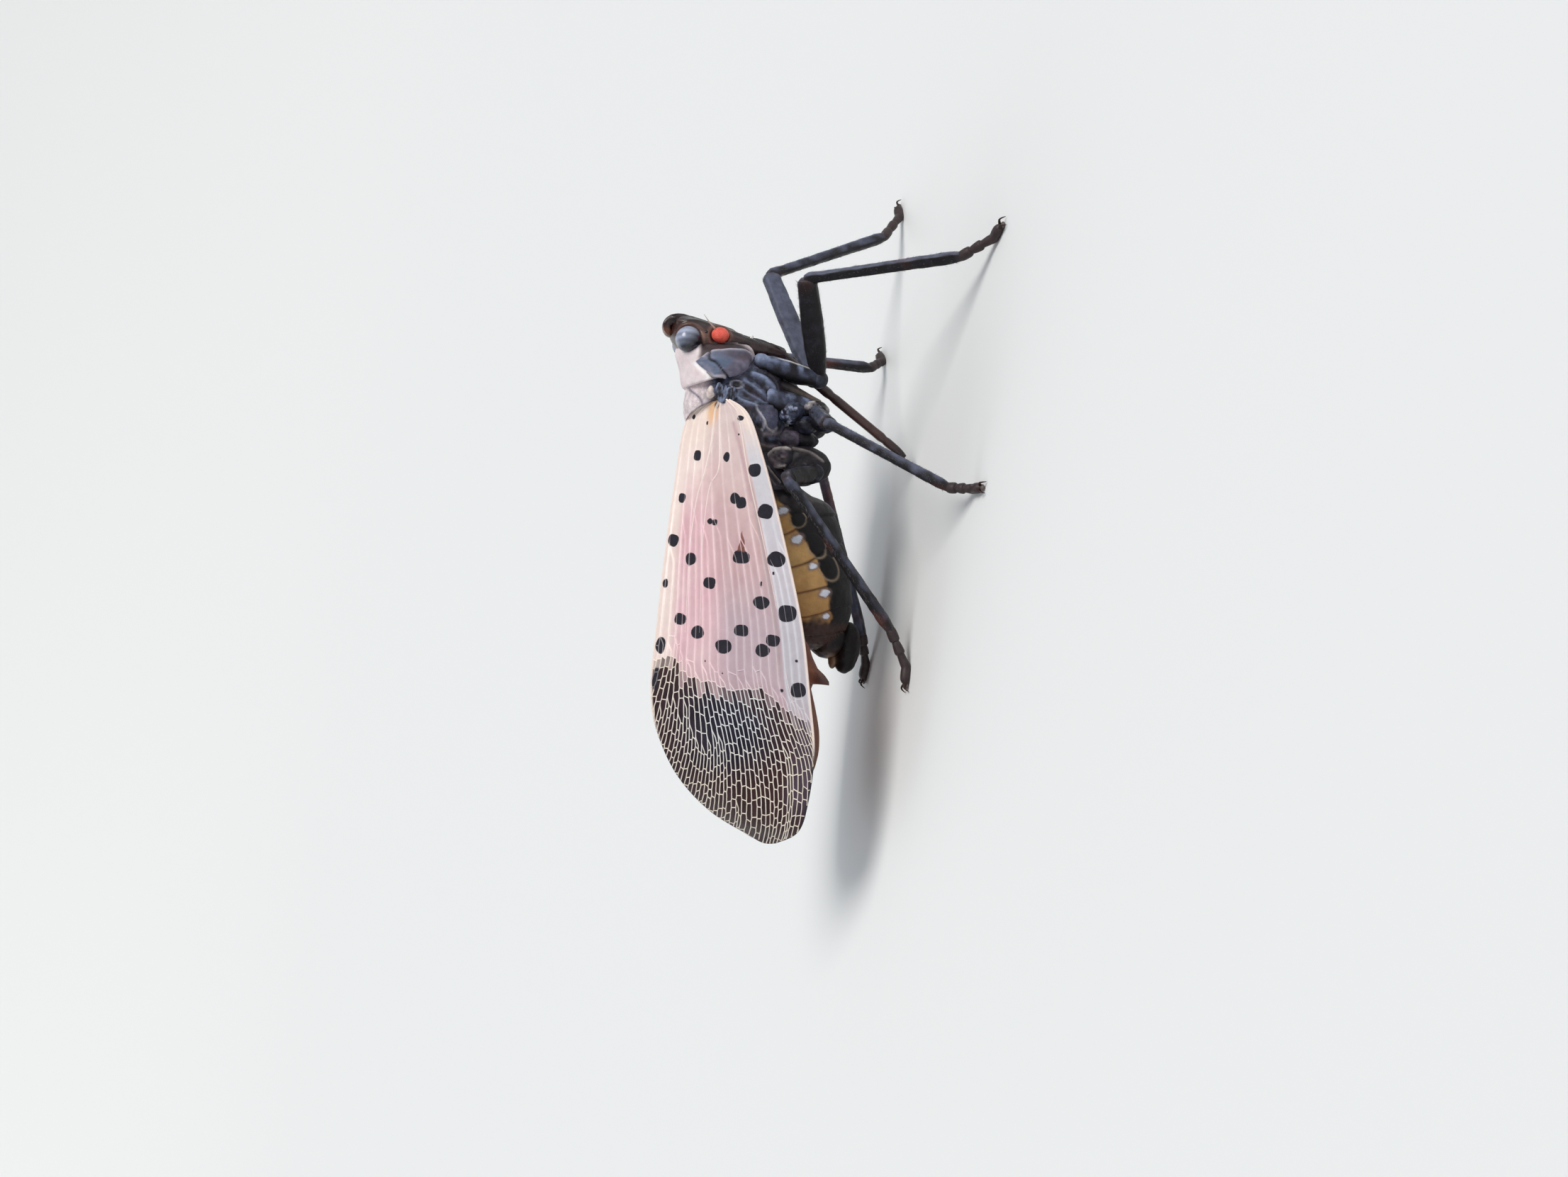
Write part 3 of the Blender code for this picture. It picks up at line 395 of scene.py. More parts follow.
GLINT_BLUE = rgb(168, 176, 204)
KNOB_PALE = rgb(166, 160, 162)
KEEL_TAN = rgb(104, 92, 84)
JOINT_BROWN = rgb(62, 50, 52)
FOOT_BROWN = rgb(76, 62, 62)
PAD_GREY = rgb(96, 86, 82)
HAIR_GREY = rgb(92, 88, 88)

# Numbers of the hash that the clouds are made from
SEED_STEP = 31.7
HASH_STEPS = np.array([73856093, 19349663, 83492791])
HASH_FACTORS = (2654435761, 2246822519)
HASH_OFFSET = 12345
HASH_MASK = 0xFFFFFFFF


# Frames: the body leans about a line along X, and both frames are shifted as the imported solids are
def turn_x(angle):
    c, s = math.cos(angle), math.sin(angle)
    return np.array([[1, 0, 0], [0, c, -s], [0, s, c]])


def lean(points):
    pivot = np.array([0, 0, LEAN_HEIGHT])
    return (np.asarray(points, float) - pivot) @ turn_x(-LEAN).T + pivot


def on_side(point, side):
    return np.array([point[0], point[1] * side, point[2]])


eye_low, eye_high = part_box("eye_right")
SHIFT = (np.array(eye_low) + np.array(eye_high)) / (2 * MM) - lean(on_side(EYE_CENTRE, -1))


# Number tools
def smooth_step(value, low, high):
    f = np.clip((value - low) / (high - low), 0, 1)
    return f * f * (3 - 2 * f)


def mix(a, b, share):
    share = np.asarray(share)[..., None]
    return a * (1 - share) + b * share


def cloud(points, size, seed=0):
    """Smooth random values from -1 to 1 that change over a length of size."""
    q = np.asarray(points, float) / size + SEED_STEP * seed
    cell = np.floor(q).astype(np.int64)
    f = q - cell
    f = f * f * (3 - 2 * f)
    total = np.zeros(len(q))
    for corner in itertools.product((0, 1), repeat=3):
        c = (cell + np.array(corner)) * HASH_STEPS
        h = c[:, 0] ^ c[:, 1] ^ c[:, 2]
        h = (h * HASH_FACTORS[0] + HASH_OFFSET) & HASH_MASK
        h = ((h ^ (h >> 15)) * HASH_FACTORS[1]) & HASH_MASK
        h = h ^ (h >> 13)
        weight = np.prod(np.where(np.array(corner) == 1, f, 1 - f), axis=1)
        total += weight * (h / HASH_MASK * 2 - 1)
    return total


def clouds(points, size, seed=0, octaves=3):
    total, weight = 0.0, 1.0
    for i in range(octaves):
        total = total + weight * cloud(points, size / 2 ** i, seed + i)
        weight *= 0.5
    return total


def patches(points, size, seed, base, swing, octaves=3):
    """Uneven patches from 0 to 1: a base, and how far the clouds swing from it."""
    return np.clip(base + swing * clouds(points, size, seed, octaves), 0, 1)


def window(value, a, b, c, d):
    """1 between b and c, falling to 0 at a and d."""
    return smooth_step(value, a, b) * (1 - smooth_step(value, c, d))


def hill(value, middle, width):
    """1 at the middle, falling to 0 over a width."""
    return np.exp(-((value - middle) / width) ** 2)


def from_side(points):
    """Places in side view: x and height."""
    return points[:, [0, 2]]


def along(keys, s):
    """A smooth curve through evenly spaced keys, at s from 0 to 1."""
    keys = np.asarray(keys, float)
    s = np.atleast_1d(np.asarray(s, float))
    last = len(keys) - 1
    i = np.clip((s * last).astype(int), 0, last - 1)
    f = (s * last - i)[:, None]
    a, b, c, d = (keys[np.clip(i + k, 0, last)] for k in (-1, 0, 1, 2))
    bow = (2 * a - 5 * b + 4 * c - d) * f ** 2 + (3 * b - a - 3 * c + d) * f ** 3
    return 0.5 * (2 * b + (c - a) * f + bow)


def bend(line, count=24):
    """A smooth line through a few places."""
    return along(line, np.linspace(0, 1, count))


def run(sizes, count=24):
    """A smooth run of numbers through a few of them."""
    return bend([[size] for size in sizes], count)[:, 0]


def off_line(places, line):
    """Distance of places from a line of points."""
    best = np.full(len(places), 1e9)
    for a, b in zip(line, line[1:]):
        d = b - a
        t = np.clip(((places - a) @ d) / max(d @ d, 1e-12), 0, 1)
        best = np.minimum(best, np.linalg.norm(places - a - t[:, None] * d, axis=1))
    return best


def crease(places, line, width):
    """1 on a smooth line through a few places, falling to 0 over a width."""
    return hill(off_line(places, bend(line)), 0, width)


def blob(places, centre, radii, edge=0.25):
    """1 inside an oval, 0 outside, with a soft edge."""
    d = np.linalg.norm((places - np.array(centre)) / np.array(radii), axis=1)
    return 1 - smooth_step(d, 1 - edge, 1 + edge)


# Mesh tools: a shape is its points, its faces and its paint (colour, then bloom)
def grid_faces(rows, cols, wrap=False):
    i = np.arange(rows - 1)[:, None] * cols
    j = np.arange(cols if wrap else cols - 1)[None, :]
    a, b = i + j, i + (j + 1) % cols
    return np.stack([a, b, b + cols, a + cols], -1).reshape(-1, 4)


def grid_normals(grid):
    """Unit normals of a closed grid of points (rows, columns, 3)."""
    n = np.cross(np.gradient(grid, axis=0), np.roll(grid, -1, 1) - np.roll(grid, 1, 1))
    return n / np.maximum(np.linalg.norm(n, axis=2, keepdims=True), 1e-12)


def skin(grid, relief):
    """A closed hull from a grid of rings, raised by its relief and painted by it."""
    rows, cols = grid.shape[:2]
    n = grid_normals(grid)
    inward = np.sum(n * (grid - grid.mean(axis=1, keepdims=True)), axis=(1, 2)) < 0
    n[inward] *= -1
    points, n = grid.reshape(-1, 3), n.reshape(-1, 3)
    height, colour, bloom = relief(points, n)
    fade = np.minimum(1.0, np.minimum(np.arange(rows), np.arange(rows)[::-1]) / 3.0)
    points = points + n * (height * np.repeat(fade, cols))[:, None]
    faces = grid_faces(rows, cols, True).tolist()
    faces.append(list(range(cols))[::-1])
    faces.append([(rows - 1) * cols + k for k in range(cols)])
    return points, faces, paint(colour, bloom)


def paint(colour, bloom=0.0, count=None, mark=None, edge=None):
    """Tint and bloom of each point, then the colour of its marking and how far inside it lies."""
    colour = np.asarray(colour, float)
    if colour.ndim == 1:
        colour = np.tile(colour, (count, 1))
    out = np.zeros((len(colour), 8))
    out[:, :3] = np.clip(colour, 0, 1)
    out[:, 3] = np.clip(bloom, 0, 1)
    out[:, 4:7] = out[:, :3] if mark is None else np.clip(mark, 0, 1)
    out[:, 7] = -1.0 if edge is None else edge
    return out


def merged(shapes):
    points, faces, paints, start = [], [], [], 0
    for p, f, c in shapes:
        points.append(p)
        paints.append(c)
        faces += [[i + start for i in face] for face in (f.tolist() if isinstance(f, np.ndarray) else f)]
        start += len(p)
    return np.concatenate(points), faces, np.concatenate(paints)


def placed(name, data):
    """A new object in the scene."""
    obj = bpy.data.objects.new(name, data)
    bpy.context.scene.collection.objects.link(obj)
    return obj


def piece(name, shapes, surface, nodes=(), upright=False, smooth=True):
    """One piece from its shapes, set in the frame, riding on the body and standing for its nodes."""
    points, faces, colours = merged(shapes)
    if not upright:
        points = lean(points)
    mesh = bpy.data.meshes.new(name)
    mesh.from_pydata(((points + SHIFT) * MM).tolist(), [], faces)
    for layer_name, part in (("tint", colours[:, :4]), ("mark", colours[:, 4:])):
        layer = mesh.attributes.new(layer_name, "FLOAT_COLOR", "POINT")
        layer.data.foreach_set("color", part.astype(np.float32).ravel())
    if smooth:
        mesh.shade_smooth()
    mesh.materials.append(surface)
    mesh.validate()
    obj = placed(name, mesh)
    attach(obj, "root")
    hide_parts(*nodes)
    return obj


# Rings and hulls
def ring(centre, u, v, a, b, sides, power=2.0, start=0.0):
    t = start + 2 * np.pi * np.arange(sides) / sides
    c = np.sign(np.cos(t)) * np.abs(np.cos(t)) ** (2 / power)
    s = np.sign(np.sin(t)) * np.abs(np.sin(t)) ** (2 / power)
    return np.asarray(centre, float) + np.outer(a * c, u) + np.outer(b * s, v)


def trunk_grid(stations, form, rows, cols):
    """Rings of a body loft along X, as the solids have them."""
    power, squeeze = form
    grid = []
    for x_top, x_low, half, top, bottom in along(stations, np.linspace(0, 1, rows)):
        middle, tall = (top + bottom) / 2, (top - bottom) / 2
        loop = ring((0, 0, middle), (0, 1, 0), (0, 0, 1), half, tall, cols, power)
        loop[:, 1] *= 1 - squeeze * np.maximum(0.0, (loop[:, 2] - middle) / tall) ** 1.5
        loop[:, 0] = x_top + (x_low - x_top) * (top - loop[:, 2]) / (top - bottom)
        grid.append(loop)
    return np.array(grid)


def ball_shape(centre, radii, look, rows=24, cols=32):
    """An oval body with its poles along Y; its look is a colour or a relief."""
    lat = np.linspace(0.02, math.pi - 0.02, rows)[:, None]
    lon = np.arange(cols) * 2 * math.pi / cols
    way = (np.sin(lat) * np.cos(lon), np.cos(lat), np.sin(lat) * np.sin(lon))
    grid = np.stack(np.broadcast_arrays(*way), -1)

    def plain(points, normals):
        return np.zeros(len(points)), np.tile(look, (len(points), 1)), 0.0
    return skin(grid * np.array(radii) + np.array(centre), look if callable(look) else plain)


def frame_at(line):
    """Direction, and two cross directions carried along a line without twisting."""
    line = np.asarray(line, float)
    way = np.gradient(line, axis=0)
    way /= np.linalg.norm(way, axis=1, keepdims=True)
    u = np.cross(way[0], (0, 0, 1.0)) if abs(way[0][2]) < 0.9 else np.cross(way[0], (0, 1.0, 0))
    out = []
    for w in way:
        u = u - w * (u @ w)
        u /= np.linalg.norm(u)
        out.append((w, u, np.cross(w, u)))
    return out


def tube_shape(line, radii, colour, sides, bloom=0.0):
    """A round, tapered tube along a line."""
    rings = [ring(p, u, v, r, r, sides) for p, r, (_, u, v) in zip(line, radii, frame_at(line))]
    count = len(rings) * sides
    faces = grid_faces(len(rings), sides, True).tolist()
    faces += [list(range(sides))[::-1], [count - sides + k for k in range(sides)]]
    colour = np.repeat(colour, sides, axis=0) if np.ndim(colour) == 2 else colour
    return np.concatenate(rings), faces, paint(colour, bloom, count)


# Materials: the mesh carries its markings; nodes add grain, bloom, gloss and relief to them
BLOOM_ROUGH = 0.75
GRAIN_ROUGH = 0.16
BROAD_GRAIN = 7
NOISE_RANGE = {"From_Min": 0.3, "From_Max": 0.7}
MARK_WOBBLE = 0.03
MARK_EDGE = {"From_Min": 0.004, "From_Max": 0.026}


def material(name, rough, grain, bump, mottle, gloss=0.5):
    """A surface coloured by its piece's paint, with grain of the given size in mm."""
    mat = bpy.data.materials.new(name)
    mat.use_nodes = True
    tree = mat.node_tree
    shader = tree.nodes["Principled BSDF"]
    shader.inputs["Specular IOR Level"].default_value = gloss

    def node(kind, *given, **named):
        """A node with its inputs in order or by name; names in lower case are its settings."""
        new = tree.nodes.new("ShaderNode" + kind)
        settings = {key: value for key, value in named.items() if key.islower()}
        for key, value in settings.items():
            setattr(new, key, value)
        inputs = [(key.replace("_", " "), value) for key, value in named.items() if key not in settings]
        for key, value in [*enumerate(given), *inputs]:
            if isinstance(value, bpy.types.NodeSocket):
                tree.links.new(value, new.inputs[key])
            else:
                new.inputs[key].default_value = value
        return new

    tint = node("Attribute", attribute_name="tint")
    mark = node("Attribute", attribute_name="mark")
    place = node("TexCoord").outputs["Object"]
    fine = node("TexNoise", Vector=place, Scale=1 / (grain * MM), Detail=3.0, Roughness=0.6).outputs["Fac"]
    broad = node("TexNoise", Vector=place, Scale=1 / (grain * BROAD_GRAIN * MM), Detail=4.0, Roughness=0.6)
    shade = node("MapRange", Value=broad.outputs["Fac"], To_Min=1 - mottle, To_Max=1 + mottle, **NOISE_RANGE)
    speck = node("MapRange", Value=fine, To_Min=1 - mottle / 2, To_Max=1 + mottle / 2, **NOISE_RANGE)
    both = node("Math", shade.outputs["Result"], speck.outputs["Result"], operation="MULTIPLY")
    wobble = node("Math", fine, MARK_WOBBLE, mark.outputs["Alpha"], operation="MULTIPLY_ADD")
    inside = node("MapRange", interpolation_type="SMOOTHSTEP", Value=wobble.outputs["Value"], **MARK_EDGE)
    marked = node("Mix", data_type="RGBA", Factor=inside.outputs["Result"], A=tint.outputs["Color"],
                  B=mark.outputs["Color"])
    colour = node("VectorMath", marked.outputs["Result"], operation="SCALE", Scale=both.outputs["Value"])
    tree.links.new(colour.outputs["Vector"], shader.inputs["Base Color"])
    sheen = node("MapRange", Value=tint.outputs["Alpha"], To_Min=rough, To_Max=BLOOM_ROUGH)
    worn = node("Math", fine, GRAIN_ROUGH, sheen.outputs["Result"], operation="MULTIPLY_ADD")
    tree.links.new(worn.outputs["Value"], shader.inputs["Roughness"])
    relief = node("Bump", Height=fine, Strength=bump, Distance=grain * 0.4 * MM)
    tree.links.new(relief.outputs["Normal"], shader.inputs["Normal"])
    return mat


WING_SKIN = material("wing_membrane", 0.42, grain=0.06, bump=0.25, mottle=0.05, gloss=0.25)
WING_VEIN = material("wing_veins", 0.40, grain=0.05, bump=0.2, mottle=0.06)
HIND_SKIN = material("hind_wing_membrane", 0.38, grain=0.07, bump=0.35, mottle=0.15)
HEAD_SKIN = material("head_cuticle", 0.16, grain=0.05, bump=0.4, mottle=0.22, gloss=0.45)
WAXY_SKIN = material("waxy_cuticle", 0.26, grain=0.06, bump=0.8, mottle=0.35, gloss=0.25)
COLLAR_SKIN = material("pronotum_cuticle", 0.45, grain=0.06, bump=0.45, mottle=0.10)
BELLY_SKIN = material("abdomen_membrane", 0.36, grain=0.07, bump=0.5, mottle=0.14, gloss=0.22)
LEG_SKIN = material("leg_cuticle", 0.26, grain=0.05, bump=0.5, mottle=0.25, gloss=0.25)
HAIR = material("hairs", 0.45, grain=0.05, bump=0.1, mottle=0.1)
BULB_SKIN = material("antenna_bulb", 0.45, grain=0.04, bump=0.8, mottle=0.14)
EYE_SKIN = material("eye_facets", 0.06, grain=0.035, bump=0.2, mottle=0.10, gloss=0.55)
CHALK = material("tegula_wax", 0.70, grain=0.05, bump=0.8, mottle=0.10)


# Wing surface, the same as the solids have
def wing_points(s, t, side):
    s, t = np.broadcast_arrays(np.asarray(s, float), np.asarray(t, float))
    shape, s, t = s.shape, s.ravel(), t.ravel()
    back, costa = along(WING_BACK, s), along(WING_COSTA, s)
    crown = WING_CROWN + TIP_CROWN * np.maximum(0.0, (s - TIP_START) / (1 - TIP_START))
    p = back + (costa - back) * t[:, None]
    reach = back[:, 2] + (costa[:, 2] - back[:, 2]) * (t + crown * np.sin(np.pi * t))
    x = p[:, 0] - TIP_BULGE * smooth_step(s, 0.95, 1.0) * np.sin(np.pi * np.clip(t, 0, 1))
    return np.stack([x, side * reach, p[:, 1]], -1).reshape(*shape, 3)


def wing_normals(s, t, side):
    e = 0.004
    ds = wing_points(s + e, t, side) - wing_points(s - e, t, side)
    dt = wing_points(s, t + e, side) - wing_points(s, t - e, side)
    n = np.cross(ds, dt)
    n /= np.linalg.norm(n, axis=-1, keepdims=True)
    return n * np.sign(n[..., 1:2] * side + 1e-9)


def wing_places(x, z):
    """Shares (s, t) of the wing at side-view places x, z, by halving."""
    x, z = np.asarray(x, float), np.asarray(z, float)
    low, high = np.zeros(x.shape), np.ones(x.shape)
    for _ in range(20):
        s = (low + high) / 2
        back, costa = along(WING_BACK, s)[:, :2], along(WING_COSTA, s)[:, :2]
        way = costa - back
        beyond = way[:, 0] * (z - back[:, 1]) - way[:, 1] * (x - back[:, 0]) < 0
        low, high = np.where(beyond, s, low), np.where(beyond, high, s)
    offset = (x - back[:, 0]) * way[:, 0] + (z - back[:, 1]) * way[:, 1]
    return s, offset / np.sum(way * way, axis=1)


# The long veins: each has a share of the wing's depth, and forks off a neighbour
def fan_heights(share, x):
    """Height at x of the long vein that enters the net at a share of the wing's depth."""
    s = np.linspace(0, 1, 200)
    share, x = np.broadcast_arrays(np.asarray(share, float), np.asarray(x, float))
    out = np.empty(x.shape)
    index = np.interp(FAN_X - x, FAN_STEPS, range(len(FAN_STEPS))) / (len(FAN_STEPS) - 1)
    drift = np.array([along(np.array(steps)[:, None], index.ravel())[:, 0] for steps in FAN_DRIFTS])
    for value in np.unique(share):
        here = share == value
        p = wing_points(s, value, 1)
        upto = np.maximum(x[here], FAN_X)
        rows = np.array([np.interp(value, FAN_SHARES, column) for column in drift.T])
        out[here] = np.interp(-upto, -p[:, 0], p[:, 2]) + rows.reshape(x.shape)[here]
    return out


def net_start(z):
    return np.interp(z, NET_HEIGHTS, NET_STARTS)


def vein_table():
    """Shares of the long veins and where each begins; new ones fork off where the fan opens."""
    draw = np.random.default_rng(7)
    shares = [FIRST_SHARE]
    while shares[-1] < LAST_SHARE:
        now = shares[-1]
        rate = float(fan_heights(now, NET_X) - fan_heights(now + SHARE_STEP, NET_X)) / SHARE_STEP
        wanted = NET_SPACING + (NET_SPACING_COSTA - NET_SPACING) * smooth_step(now, 0.70, 0.88)
        shares.append(now + float(wanted) / max(rate, 5.0) * draw.uniform(0.88, 1.12))
    veins = []
    for k, share in enumerate(shares):
        if k % 4 == 0:
            veins.append((share, VEIN_X[0]))
        elif k % 2 == 0:
            veins.append((share, draw.uniform(*EARLY_FORKS)))
        else:
            edge = float(net_start(float(fan_heights(share, NET_X))))
            veins.append((share, edge + draw.uniform(*LATE_FORKS)))
    for _ in range(2):
        added = []
        for (a, start_a), (b, start_b) in zip(veins, veins[1:]):
            apart = fan_heights(a, VEIN_X) - fan_heights(b, VEIN_X)
            wide = apart > WIDEST_CELL * draw.uniform(0.93, 1.1)
            wide &= (VEIN_X < min(start_a, start_b) - FORK_GAP) & (VEIN_X < NET_X - 0.4)
            if wide.any() and VEIN_X[np.argmax(wide)] > LAST_FORK:
                added.append(((a + b) / 2, VEIN_X[np.argmax(wide)]))
        veins = sorted(veins + added)
    return np.array([v[0] for v in veins]), np.array([v[1] for v in veins])


VEIN_X = np.arange(2.55, -17.85, -0.085)
VEIN_SHARES, VEIN_STARTS = vein_table()


def vein_lines():
    """Heights of every long vein over VEIN_X, nan before it forks off its upper neighbour."""
    lines = np.array([fan_heights(share, VEIN_X) for share in VEIN_SHARES])
    out = lines.copy()
    for k in np.argsort(-VEIN_STARTS):
        start = VEIN_STARTS[k]
        if start < VEIN_X[0]:
            parent = max(j for j in range(k) if VEIN_STARTS[j] > start)
            length = FORK_LENGTHS[0] if start > FORK_CHANGE else FORK_LENGTHS[1]
            away = smooth_step(start - VEIN_X, 0.0, length)
            out[k] = out[parent] * (1 - away) + lines[k] * away
            out[k][VEIN_X > start] = np.nan
    return out


VEIN_LINES = vein_lines()
# Long veins that already run through the wing's base
BASE_SHARES = VEIN_SHARES[VEIN_STARTS > -1.5]


def columns_of_cells():
    """Each gap between neighbouring long veins: the two veins, its ends, and its cross veins."""
    draw = np.random.default_rng(11)
    columns = []
    count = len(VEIN_SHARES)
    shares = [0.0, *VEIN_SHARES, 1.0]
    starts = [BEFORE_WING, *VEIN_STARTS, BEFORE_WING]
    for a in range(-1, count):
        for b in range(a + 1, min(a + 12, count + 1)):
            between = VEIN_STARTS[a + 1:b]
            high = min(starts[a + 1], starts[b + 1])
            low = between.max() if len(between) else PAST_WING
            if high <= low + 0.02:
                continue
            share = (shares[a + 1] + shares[b + 1]) / 2
            first = float(net_start(float(fan_heights(share, NET_X)))) + draw.uniform(-0.10, 0.14)
            opens = first < high - 0.15
            places = []
            if opens:
                if draw.random() < 0.6:
                    places.append(first + draw.uniform(0.45, 0.9))
                places.append(first)
            x = min(first, high)
            while x > low + 0.15:
                x -= draw.uniform(*CELL_LENGTHS)
                places.append(x)
            kept = [(p, draw.uniform(-0.06, 0.06)) for p in places if low + 0.08 < p < high - 0.1]
            columns.append((a, b, low, high, first if opens else None, kept))
    return columns


COLUMNS = columns_of_cells()


def line_height(k, x):
    """Height of a long vein; beyond the last ones, the wing's own edges."""
    if 0 <= k < len(VEIN_LINES):
        return np.interp(-x, -VEIN_X, np.nan_to_num(BENT_LINES[k], nan=-9.0))
    return fan_heights(0.0 if k < 0 else 1.0, x)


def bent_lines():
    """Long veins drawn a little towards each cross vein that meets them."""
    bent = VEIN_LINES.copy()
    for a, b, _, _, _, places in COLUMNS:
        for x, slant in places:
            if a >= 0:
                bent[a] -= KINK * hill(VEIN_X, x + slant, 0.10)
            if b < len(bent):
                bent[b] += KINK * hill(VEIN_X, x - slant, 0.10)
    return bent


BENT_LINES = bent_lines()


def spot_edge(x, z):
    """Signed distance in mm to the outline of the nearest black spot, positive inside."""
    places = np.stack([x, z], -1)
    edge = np.full(len(x), -0.3)
    for i, (cx, cz, rx, rz) in enumerate(SPOTS):
        near = (np.abs(x - cx) < rx + 0.35) & (np.abs(z - cz) < rz + 0.35)
        d = (places[near] - (cx, cz)) / (rx, rz)
        angle = np.arctan2(d[:, 1], d[:, 0])
        outline = 1 + 0.035 * np.sin(3 * angle + i) + 0.03 * np.sin(4 * angle + 2.3 * i)
        radius = (np.abs(d[:, 0]) ** 2.3 + np.abs(d[:, 1]) ** 2.3) ** (1 / 2.3)
        edge[near] = np.maximum(edge[near], (outline - radius) * min(rx, rz))
    return edge


def spot_mask(x, z):
    return smooth_step(spot_edge(x, z), -0.02, 0.02)


def scar_edge(x, z):
    """Signed distance inside the brown scar above one spot."""
    (ax, az), (bx, bz), half = SCAR
    down = np.clip((ax - x) / (ax - bx), 0, 1)
    middle = az + (bz - az) * down + 0.03 * np.sin(9 * down)
    return np.where((x < ax) & (x > bx), half * down - np.abs(z - middle), -0.3)


def on_wing(x, z):
    """Places on a wing seen from the side, for clouds."""
    return np.stack([x, z, 0 * x], -1)


def leather_tint(x, z, t):
    """Colours of the wing's leathery fore part."""
    flat, places = on_wing(x, z), np.stack([x, z], -1)
    colour = mix(WARM_CREAM, CREAM, smooth_step(-x, -2.2, 0.5))
    # Grey-pink, pink and lilac over the middle of the wing: partly the wing's own colour, partly painted
    # shade where less light falls
    colour = mix(colour, GREY_PINK, 0.75 * window(t, 0.28, 0.48, 0.84, 0.92) * smooth_step(x, -3.0, 0.5))
    inner = smooth_step(t, 0.24, 0.50) * smooth_step(-x, -1.6, 3.0)
    colour = mix(colour, PINK, np.clip(inner * (0.95 + 0.15 * clouds(flat, 1.6, 3)), 0, 1))
    colour = mix(colour, LILAC, inner * smooth_step(-x, 4.0, 8.0) * 0.8)
    rose = window(t, 0.07, 0.17, 0.34, 0.55) * smooth_step(-x, -1.0, 3.5)
    colour = mix(colour, ROSE, np.clip(rose * (0.85 + 0.35 * clouds(flat * (0.6, 1, 1), 1.2, 5)), 0, 1))
    # Pleats of the base: paler on the long veins as painted highlight, darker between them as painted shade
    base = smooth_step(x, -8.0, -3.0)
    fold = base * np.max([hill(t, share, 0.012) for share in BASE_SHARES], axis=0)
    colour = mix(colour, colour * 1.06 + 0.03, 0.8 * fold)
    colour = mix(colour, colour * PLEAT_PAINTED_SHADE, 0.6 * (1 - fold) * base * smooth_step(-x, -2.4, -1.0))
    streak = patches(flat * (0.18, 1.0, 1.0), 0.30, 16, 0, 1, 1) * smooth_step(-x, -1.5, 1.0)
    colour = mix(colour, colour * STREAK_DUSK, 0.8 * streak)
    # Costal band, its inner border painted as a darker shadow line, and painted shade along the fold above
    # it
    band = smooth_step(t, 0.845, 0.862) * smooth_step(-x, -2.4, 0.0)
    colour = mix(colour, SILVER * (1 - 0.16 * smooth_step(-x, 4.5, 9.0))[:, None], 0.9 * band)
    colour = mix(colour, PINK * FOLD_SHADE, 0.75 * crease(places, BASE_FOLD, 0.09))
    colour = mix(colour, BAND_SHADOW_BROWN, 0.6 * hill(t, 0.825, 0.018) * window(-x, 0.0, 2.0, 8.8, 10.2))
    colour = mix(colour, STAIN, 0.70 * blob(places, (2.45, 10.32), (0.70, 0.24), 0.6))
    return mix(colour, SCAR_BROWN * 0.5, blob(places, (2.68, 10.20), (0.15, 0.10), 0.4))


def vein_gap(x, z):
    """Distance in height from each place to the nearest long vein."""
    gap = np.full(len(x), 1.0)
    for line in BENT_LINES:
        gap = np.fmin(gap, np.abs(z - np.interp(-x, -VEIN_X, line)))
    return gap


def cell_tint(x, z):
    """Colours of the net's dark cells, and how dark each place is with them."""
    dark, luck = np.zeros(len(x)), np.zeros(len(x))
    draw = np.random.default_rng(23)
    for a, b, low, high, first, places in COLUMNS:
        values = draw.uniform(-1, 1, len(places) + 2)
        here = np.flatnonzero((x <= high) & (x > low))
        top, bottom = line_height(a, x[here]), line_height(b, x[here])
        above = top + (0.5 if a < 0 else 0)
        below = bottom - (0.5 if b == len(VEIN_LINES) else 0)
        inside = (z[here] <= above) & (z[here] > below)
        here, top, bottom = here[inside], top[inside], bottom[inside]
        f = (top - z[here]) / np.maximum(top - bottom, 1e-4)
        order = np.zeros(len(here), int)
        for place, slant in places:
            order += x[here] < place + slant * (1 - 2 * f)
        luck[here] = values[order]
        if first is None:
            dark[here] = 1.0
            continue
        rows = order - 1 - sum(place > first + 0.01 for place, _ in places)
        dark[here] = np.where(rows < 0, 0.0, np.where(rows == 0, 0.72 + 0.45 * values[order], 1.0))
    flat = on_wing(x, z)
    navy = hill(x, -12.6, 2.2) * hill(z, 7.8, 2.2)
    colour = mix(MAROON, NAVY, np.clip(1.35 * navy + 0.25 * cloud(flat, 1.0, 9), 0, 1))
    pale = smooth_step(-z, -5.2, -4.2) * (1 - smooth_step(-x, 15.0, 16.6))
    colour = mix(colour, MAUVE, np.clip(0.6 * pale + 0.12 * cloud(flat, 0.8, 4), 0, 1))
    return colour * (1 + 0.22 * luck)[:, None], np.clip(dark, 0, 1)


def wing_tint(x, z, t):
    """The wing's ground colours: pale leather, then the net's dark cells."""
    cells, dark = cell_tint(x, z)
    base = leather_tint(x, z, t)
    gap = vein_gap(x, z)
    halo = (1 - smooth_step(gap, 0.02, 0.075)) * smooth_step(-x, 1.0, 4.0)
    base = mix(base, base * 1.05 + 0.035, 0.8 * halo)
    # Darker midway between the long veins: partly the wing's fine striping, partly painted shade between the
    # raised veins
    between = smooth_step(gap, 0.03, 0.10) * smooth_step(-x, 1.5, 5.0)
    base = mix(base, base * VEIN_GAP_PAINTED_SHADE, 0.8 * between)
    near = smooth_step(net_start(z) - x, -1.3, 0.0) * smooth_step(t, 0.08, 0.2)
    base = mix(base, ROSE * 0.60, 0.45 * near)
    return mix(base, cells, dark)


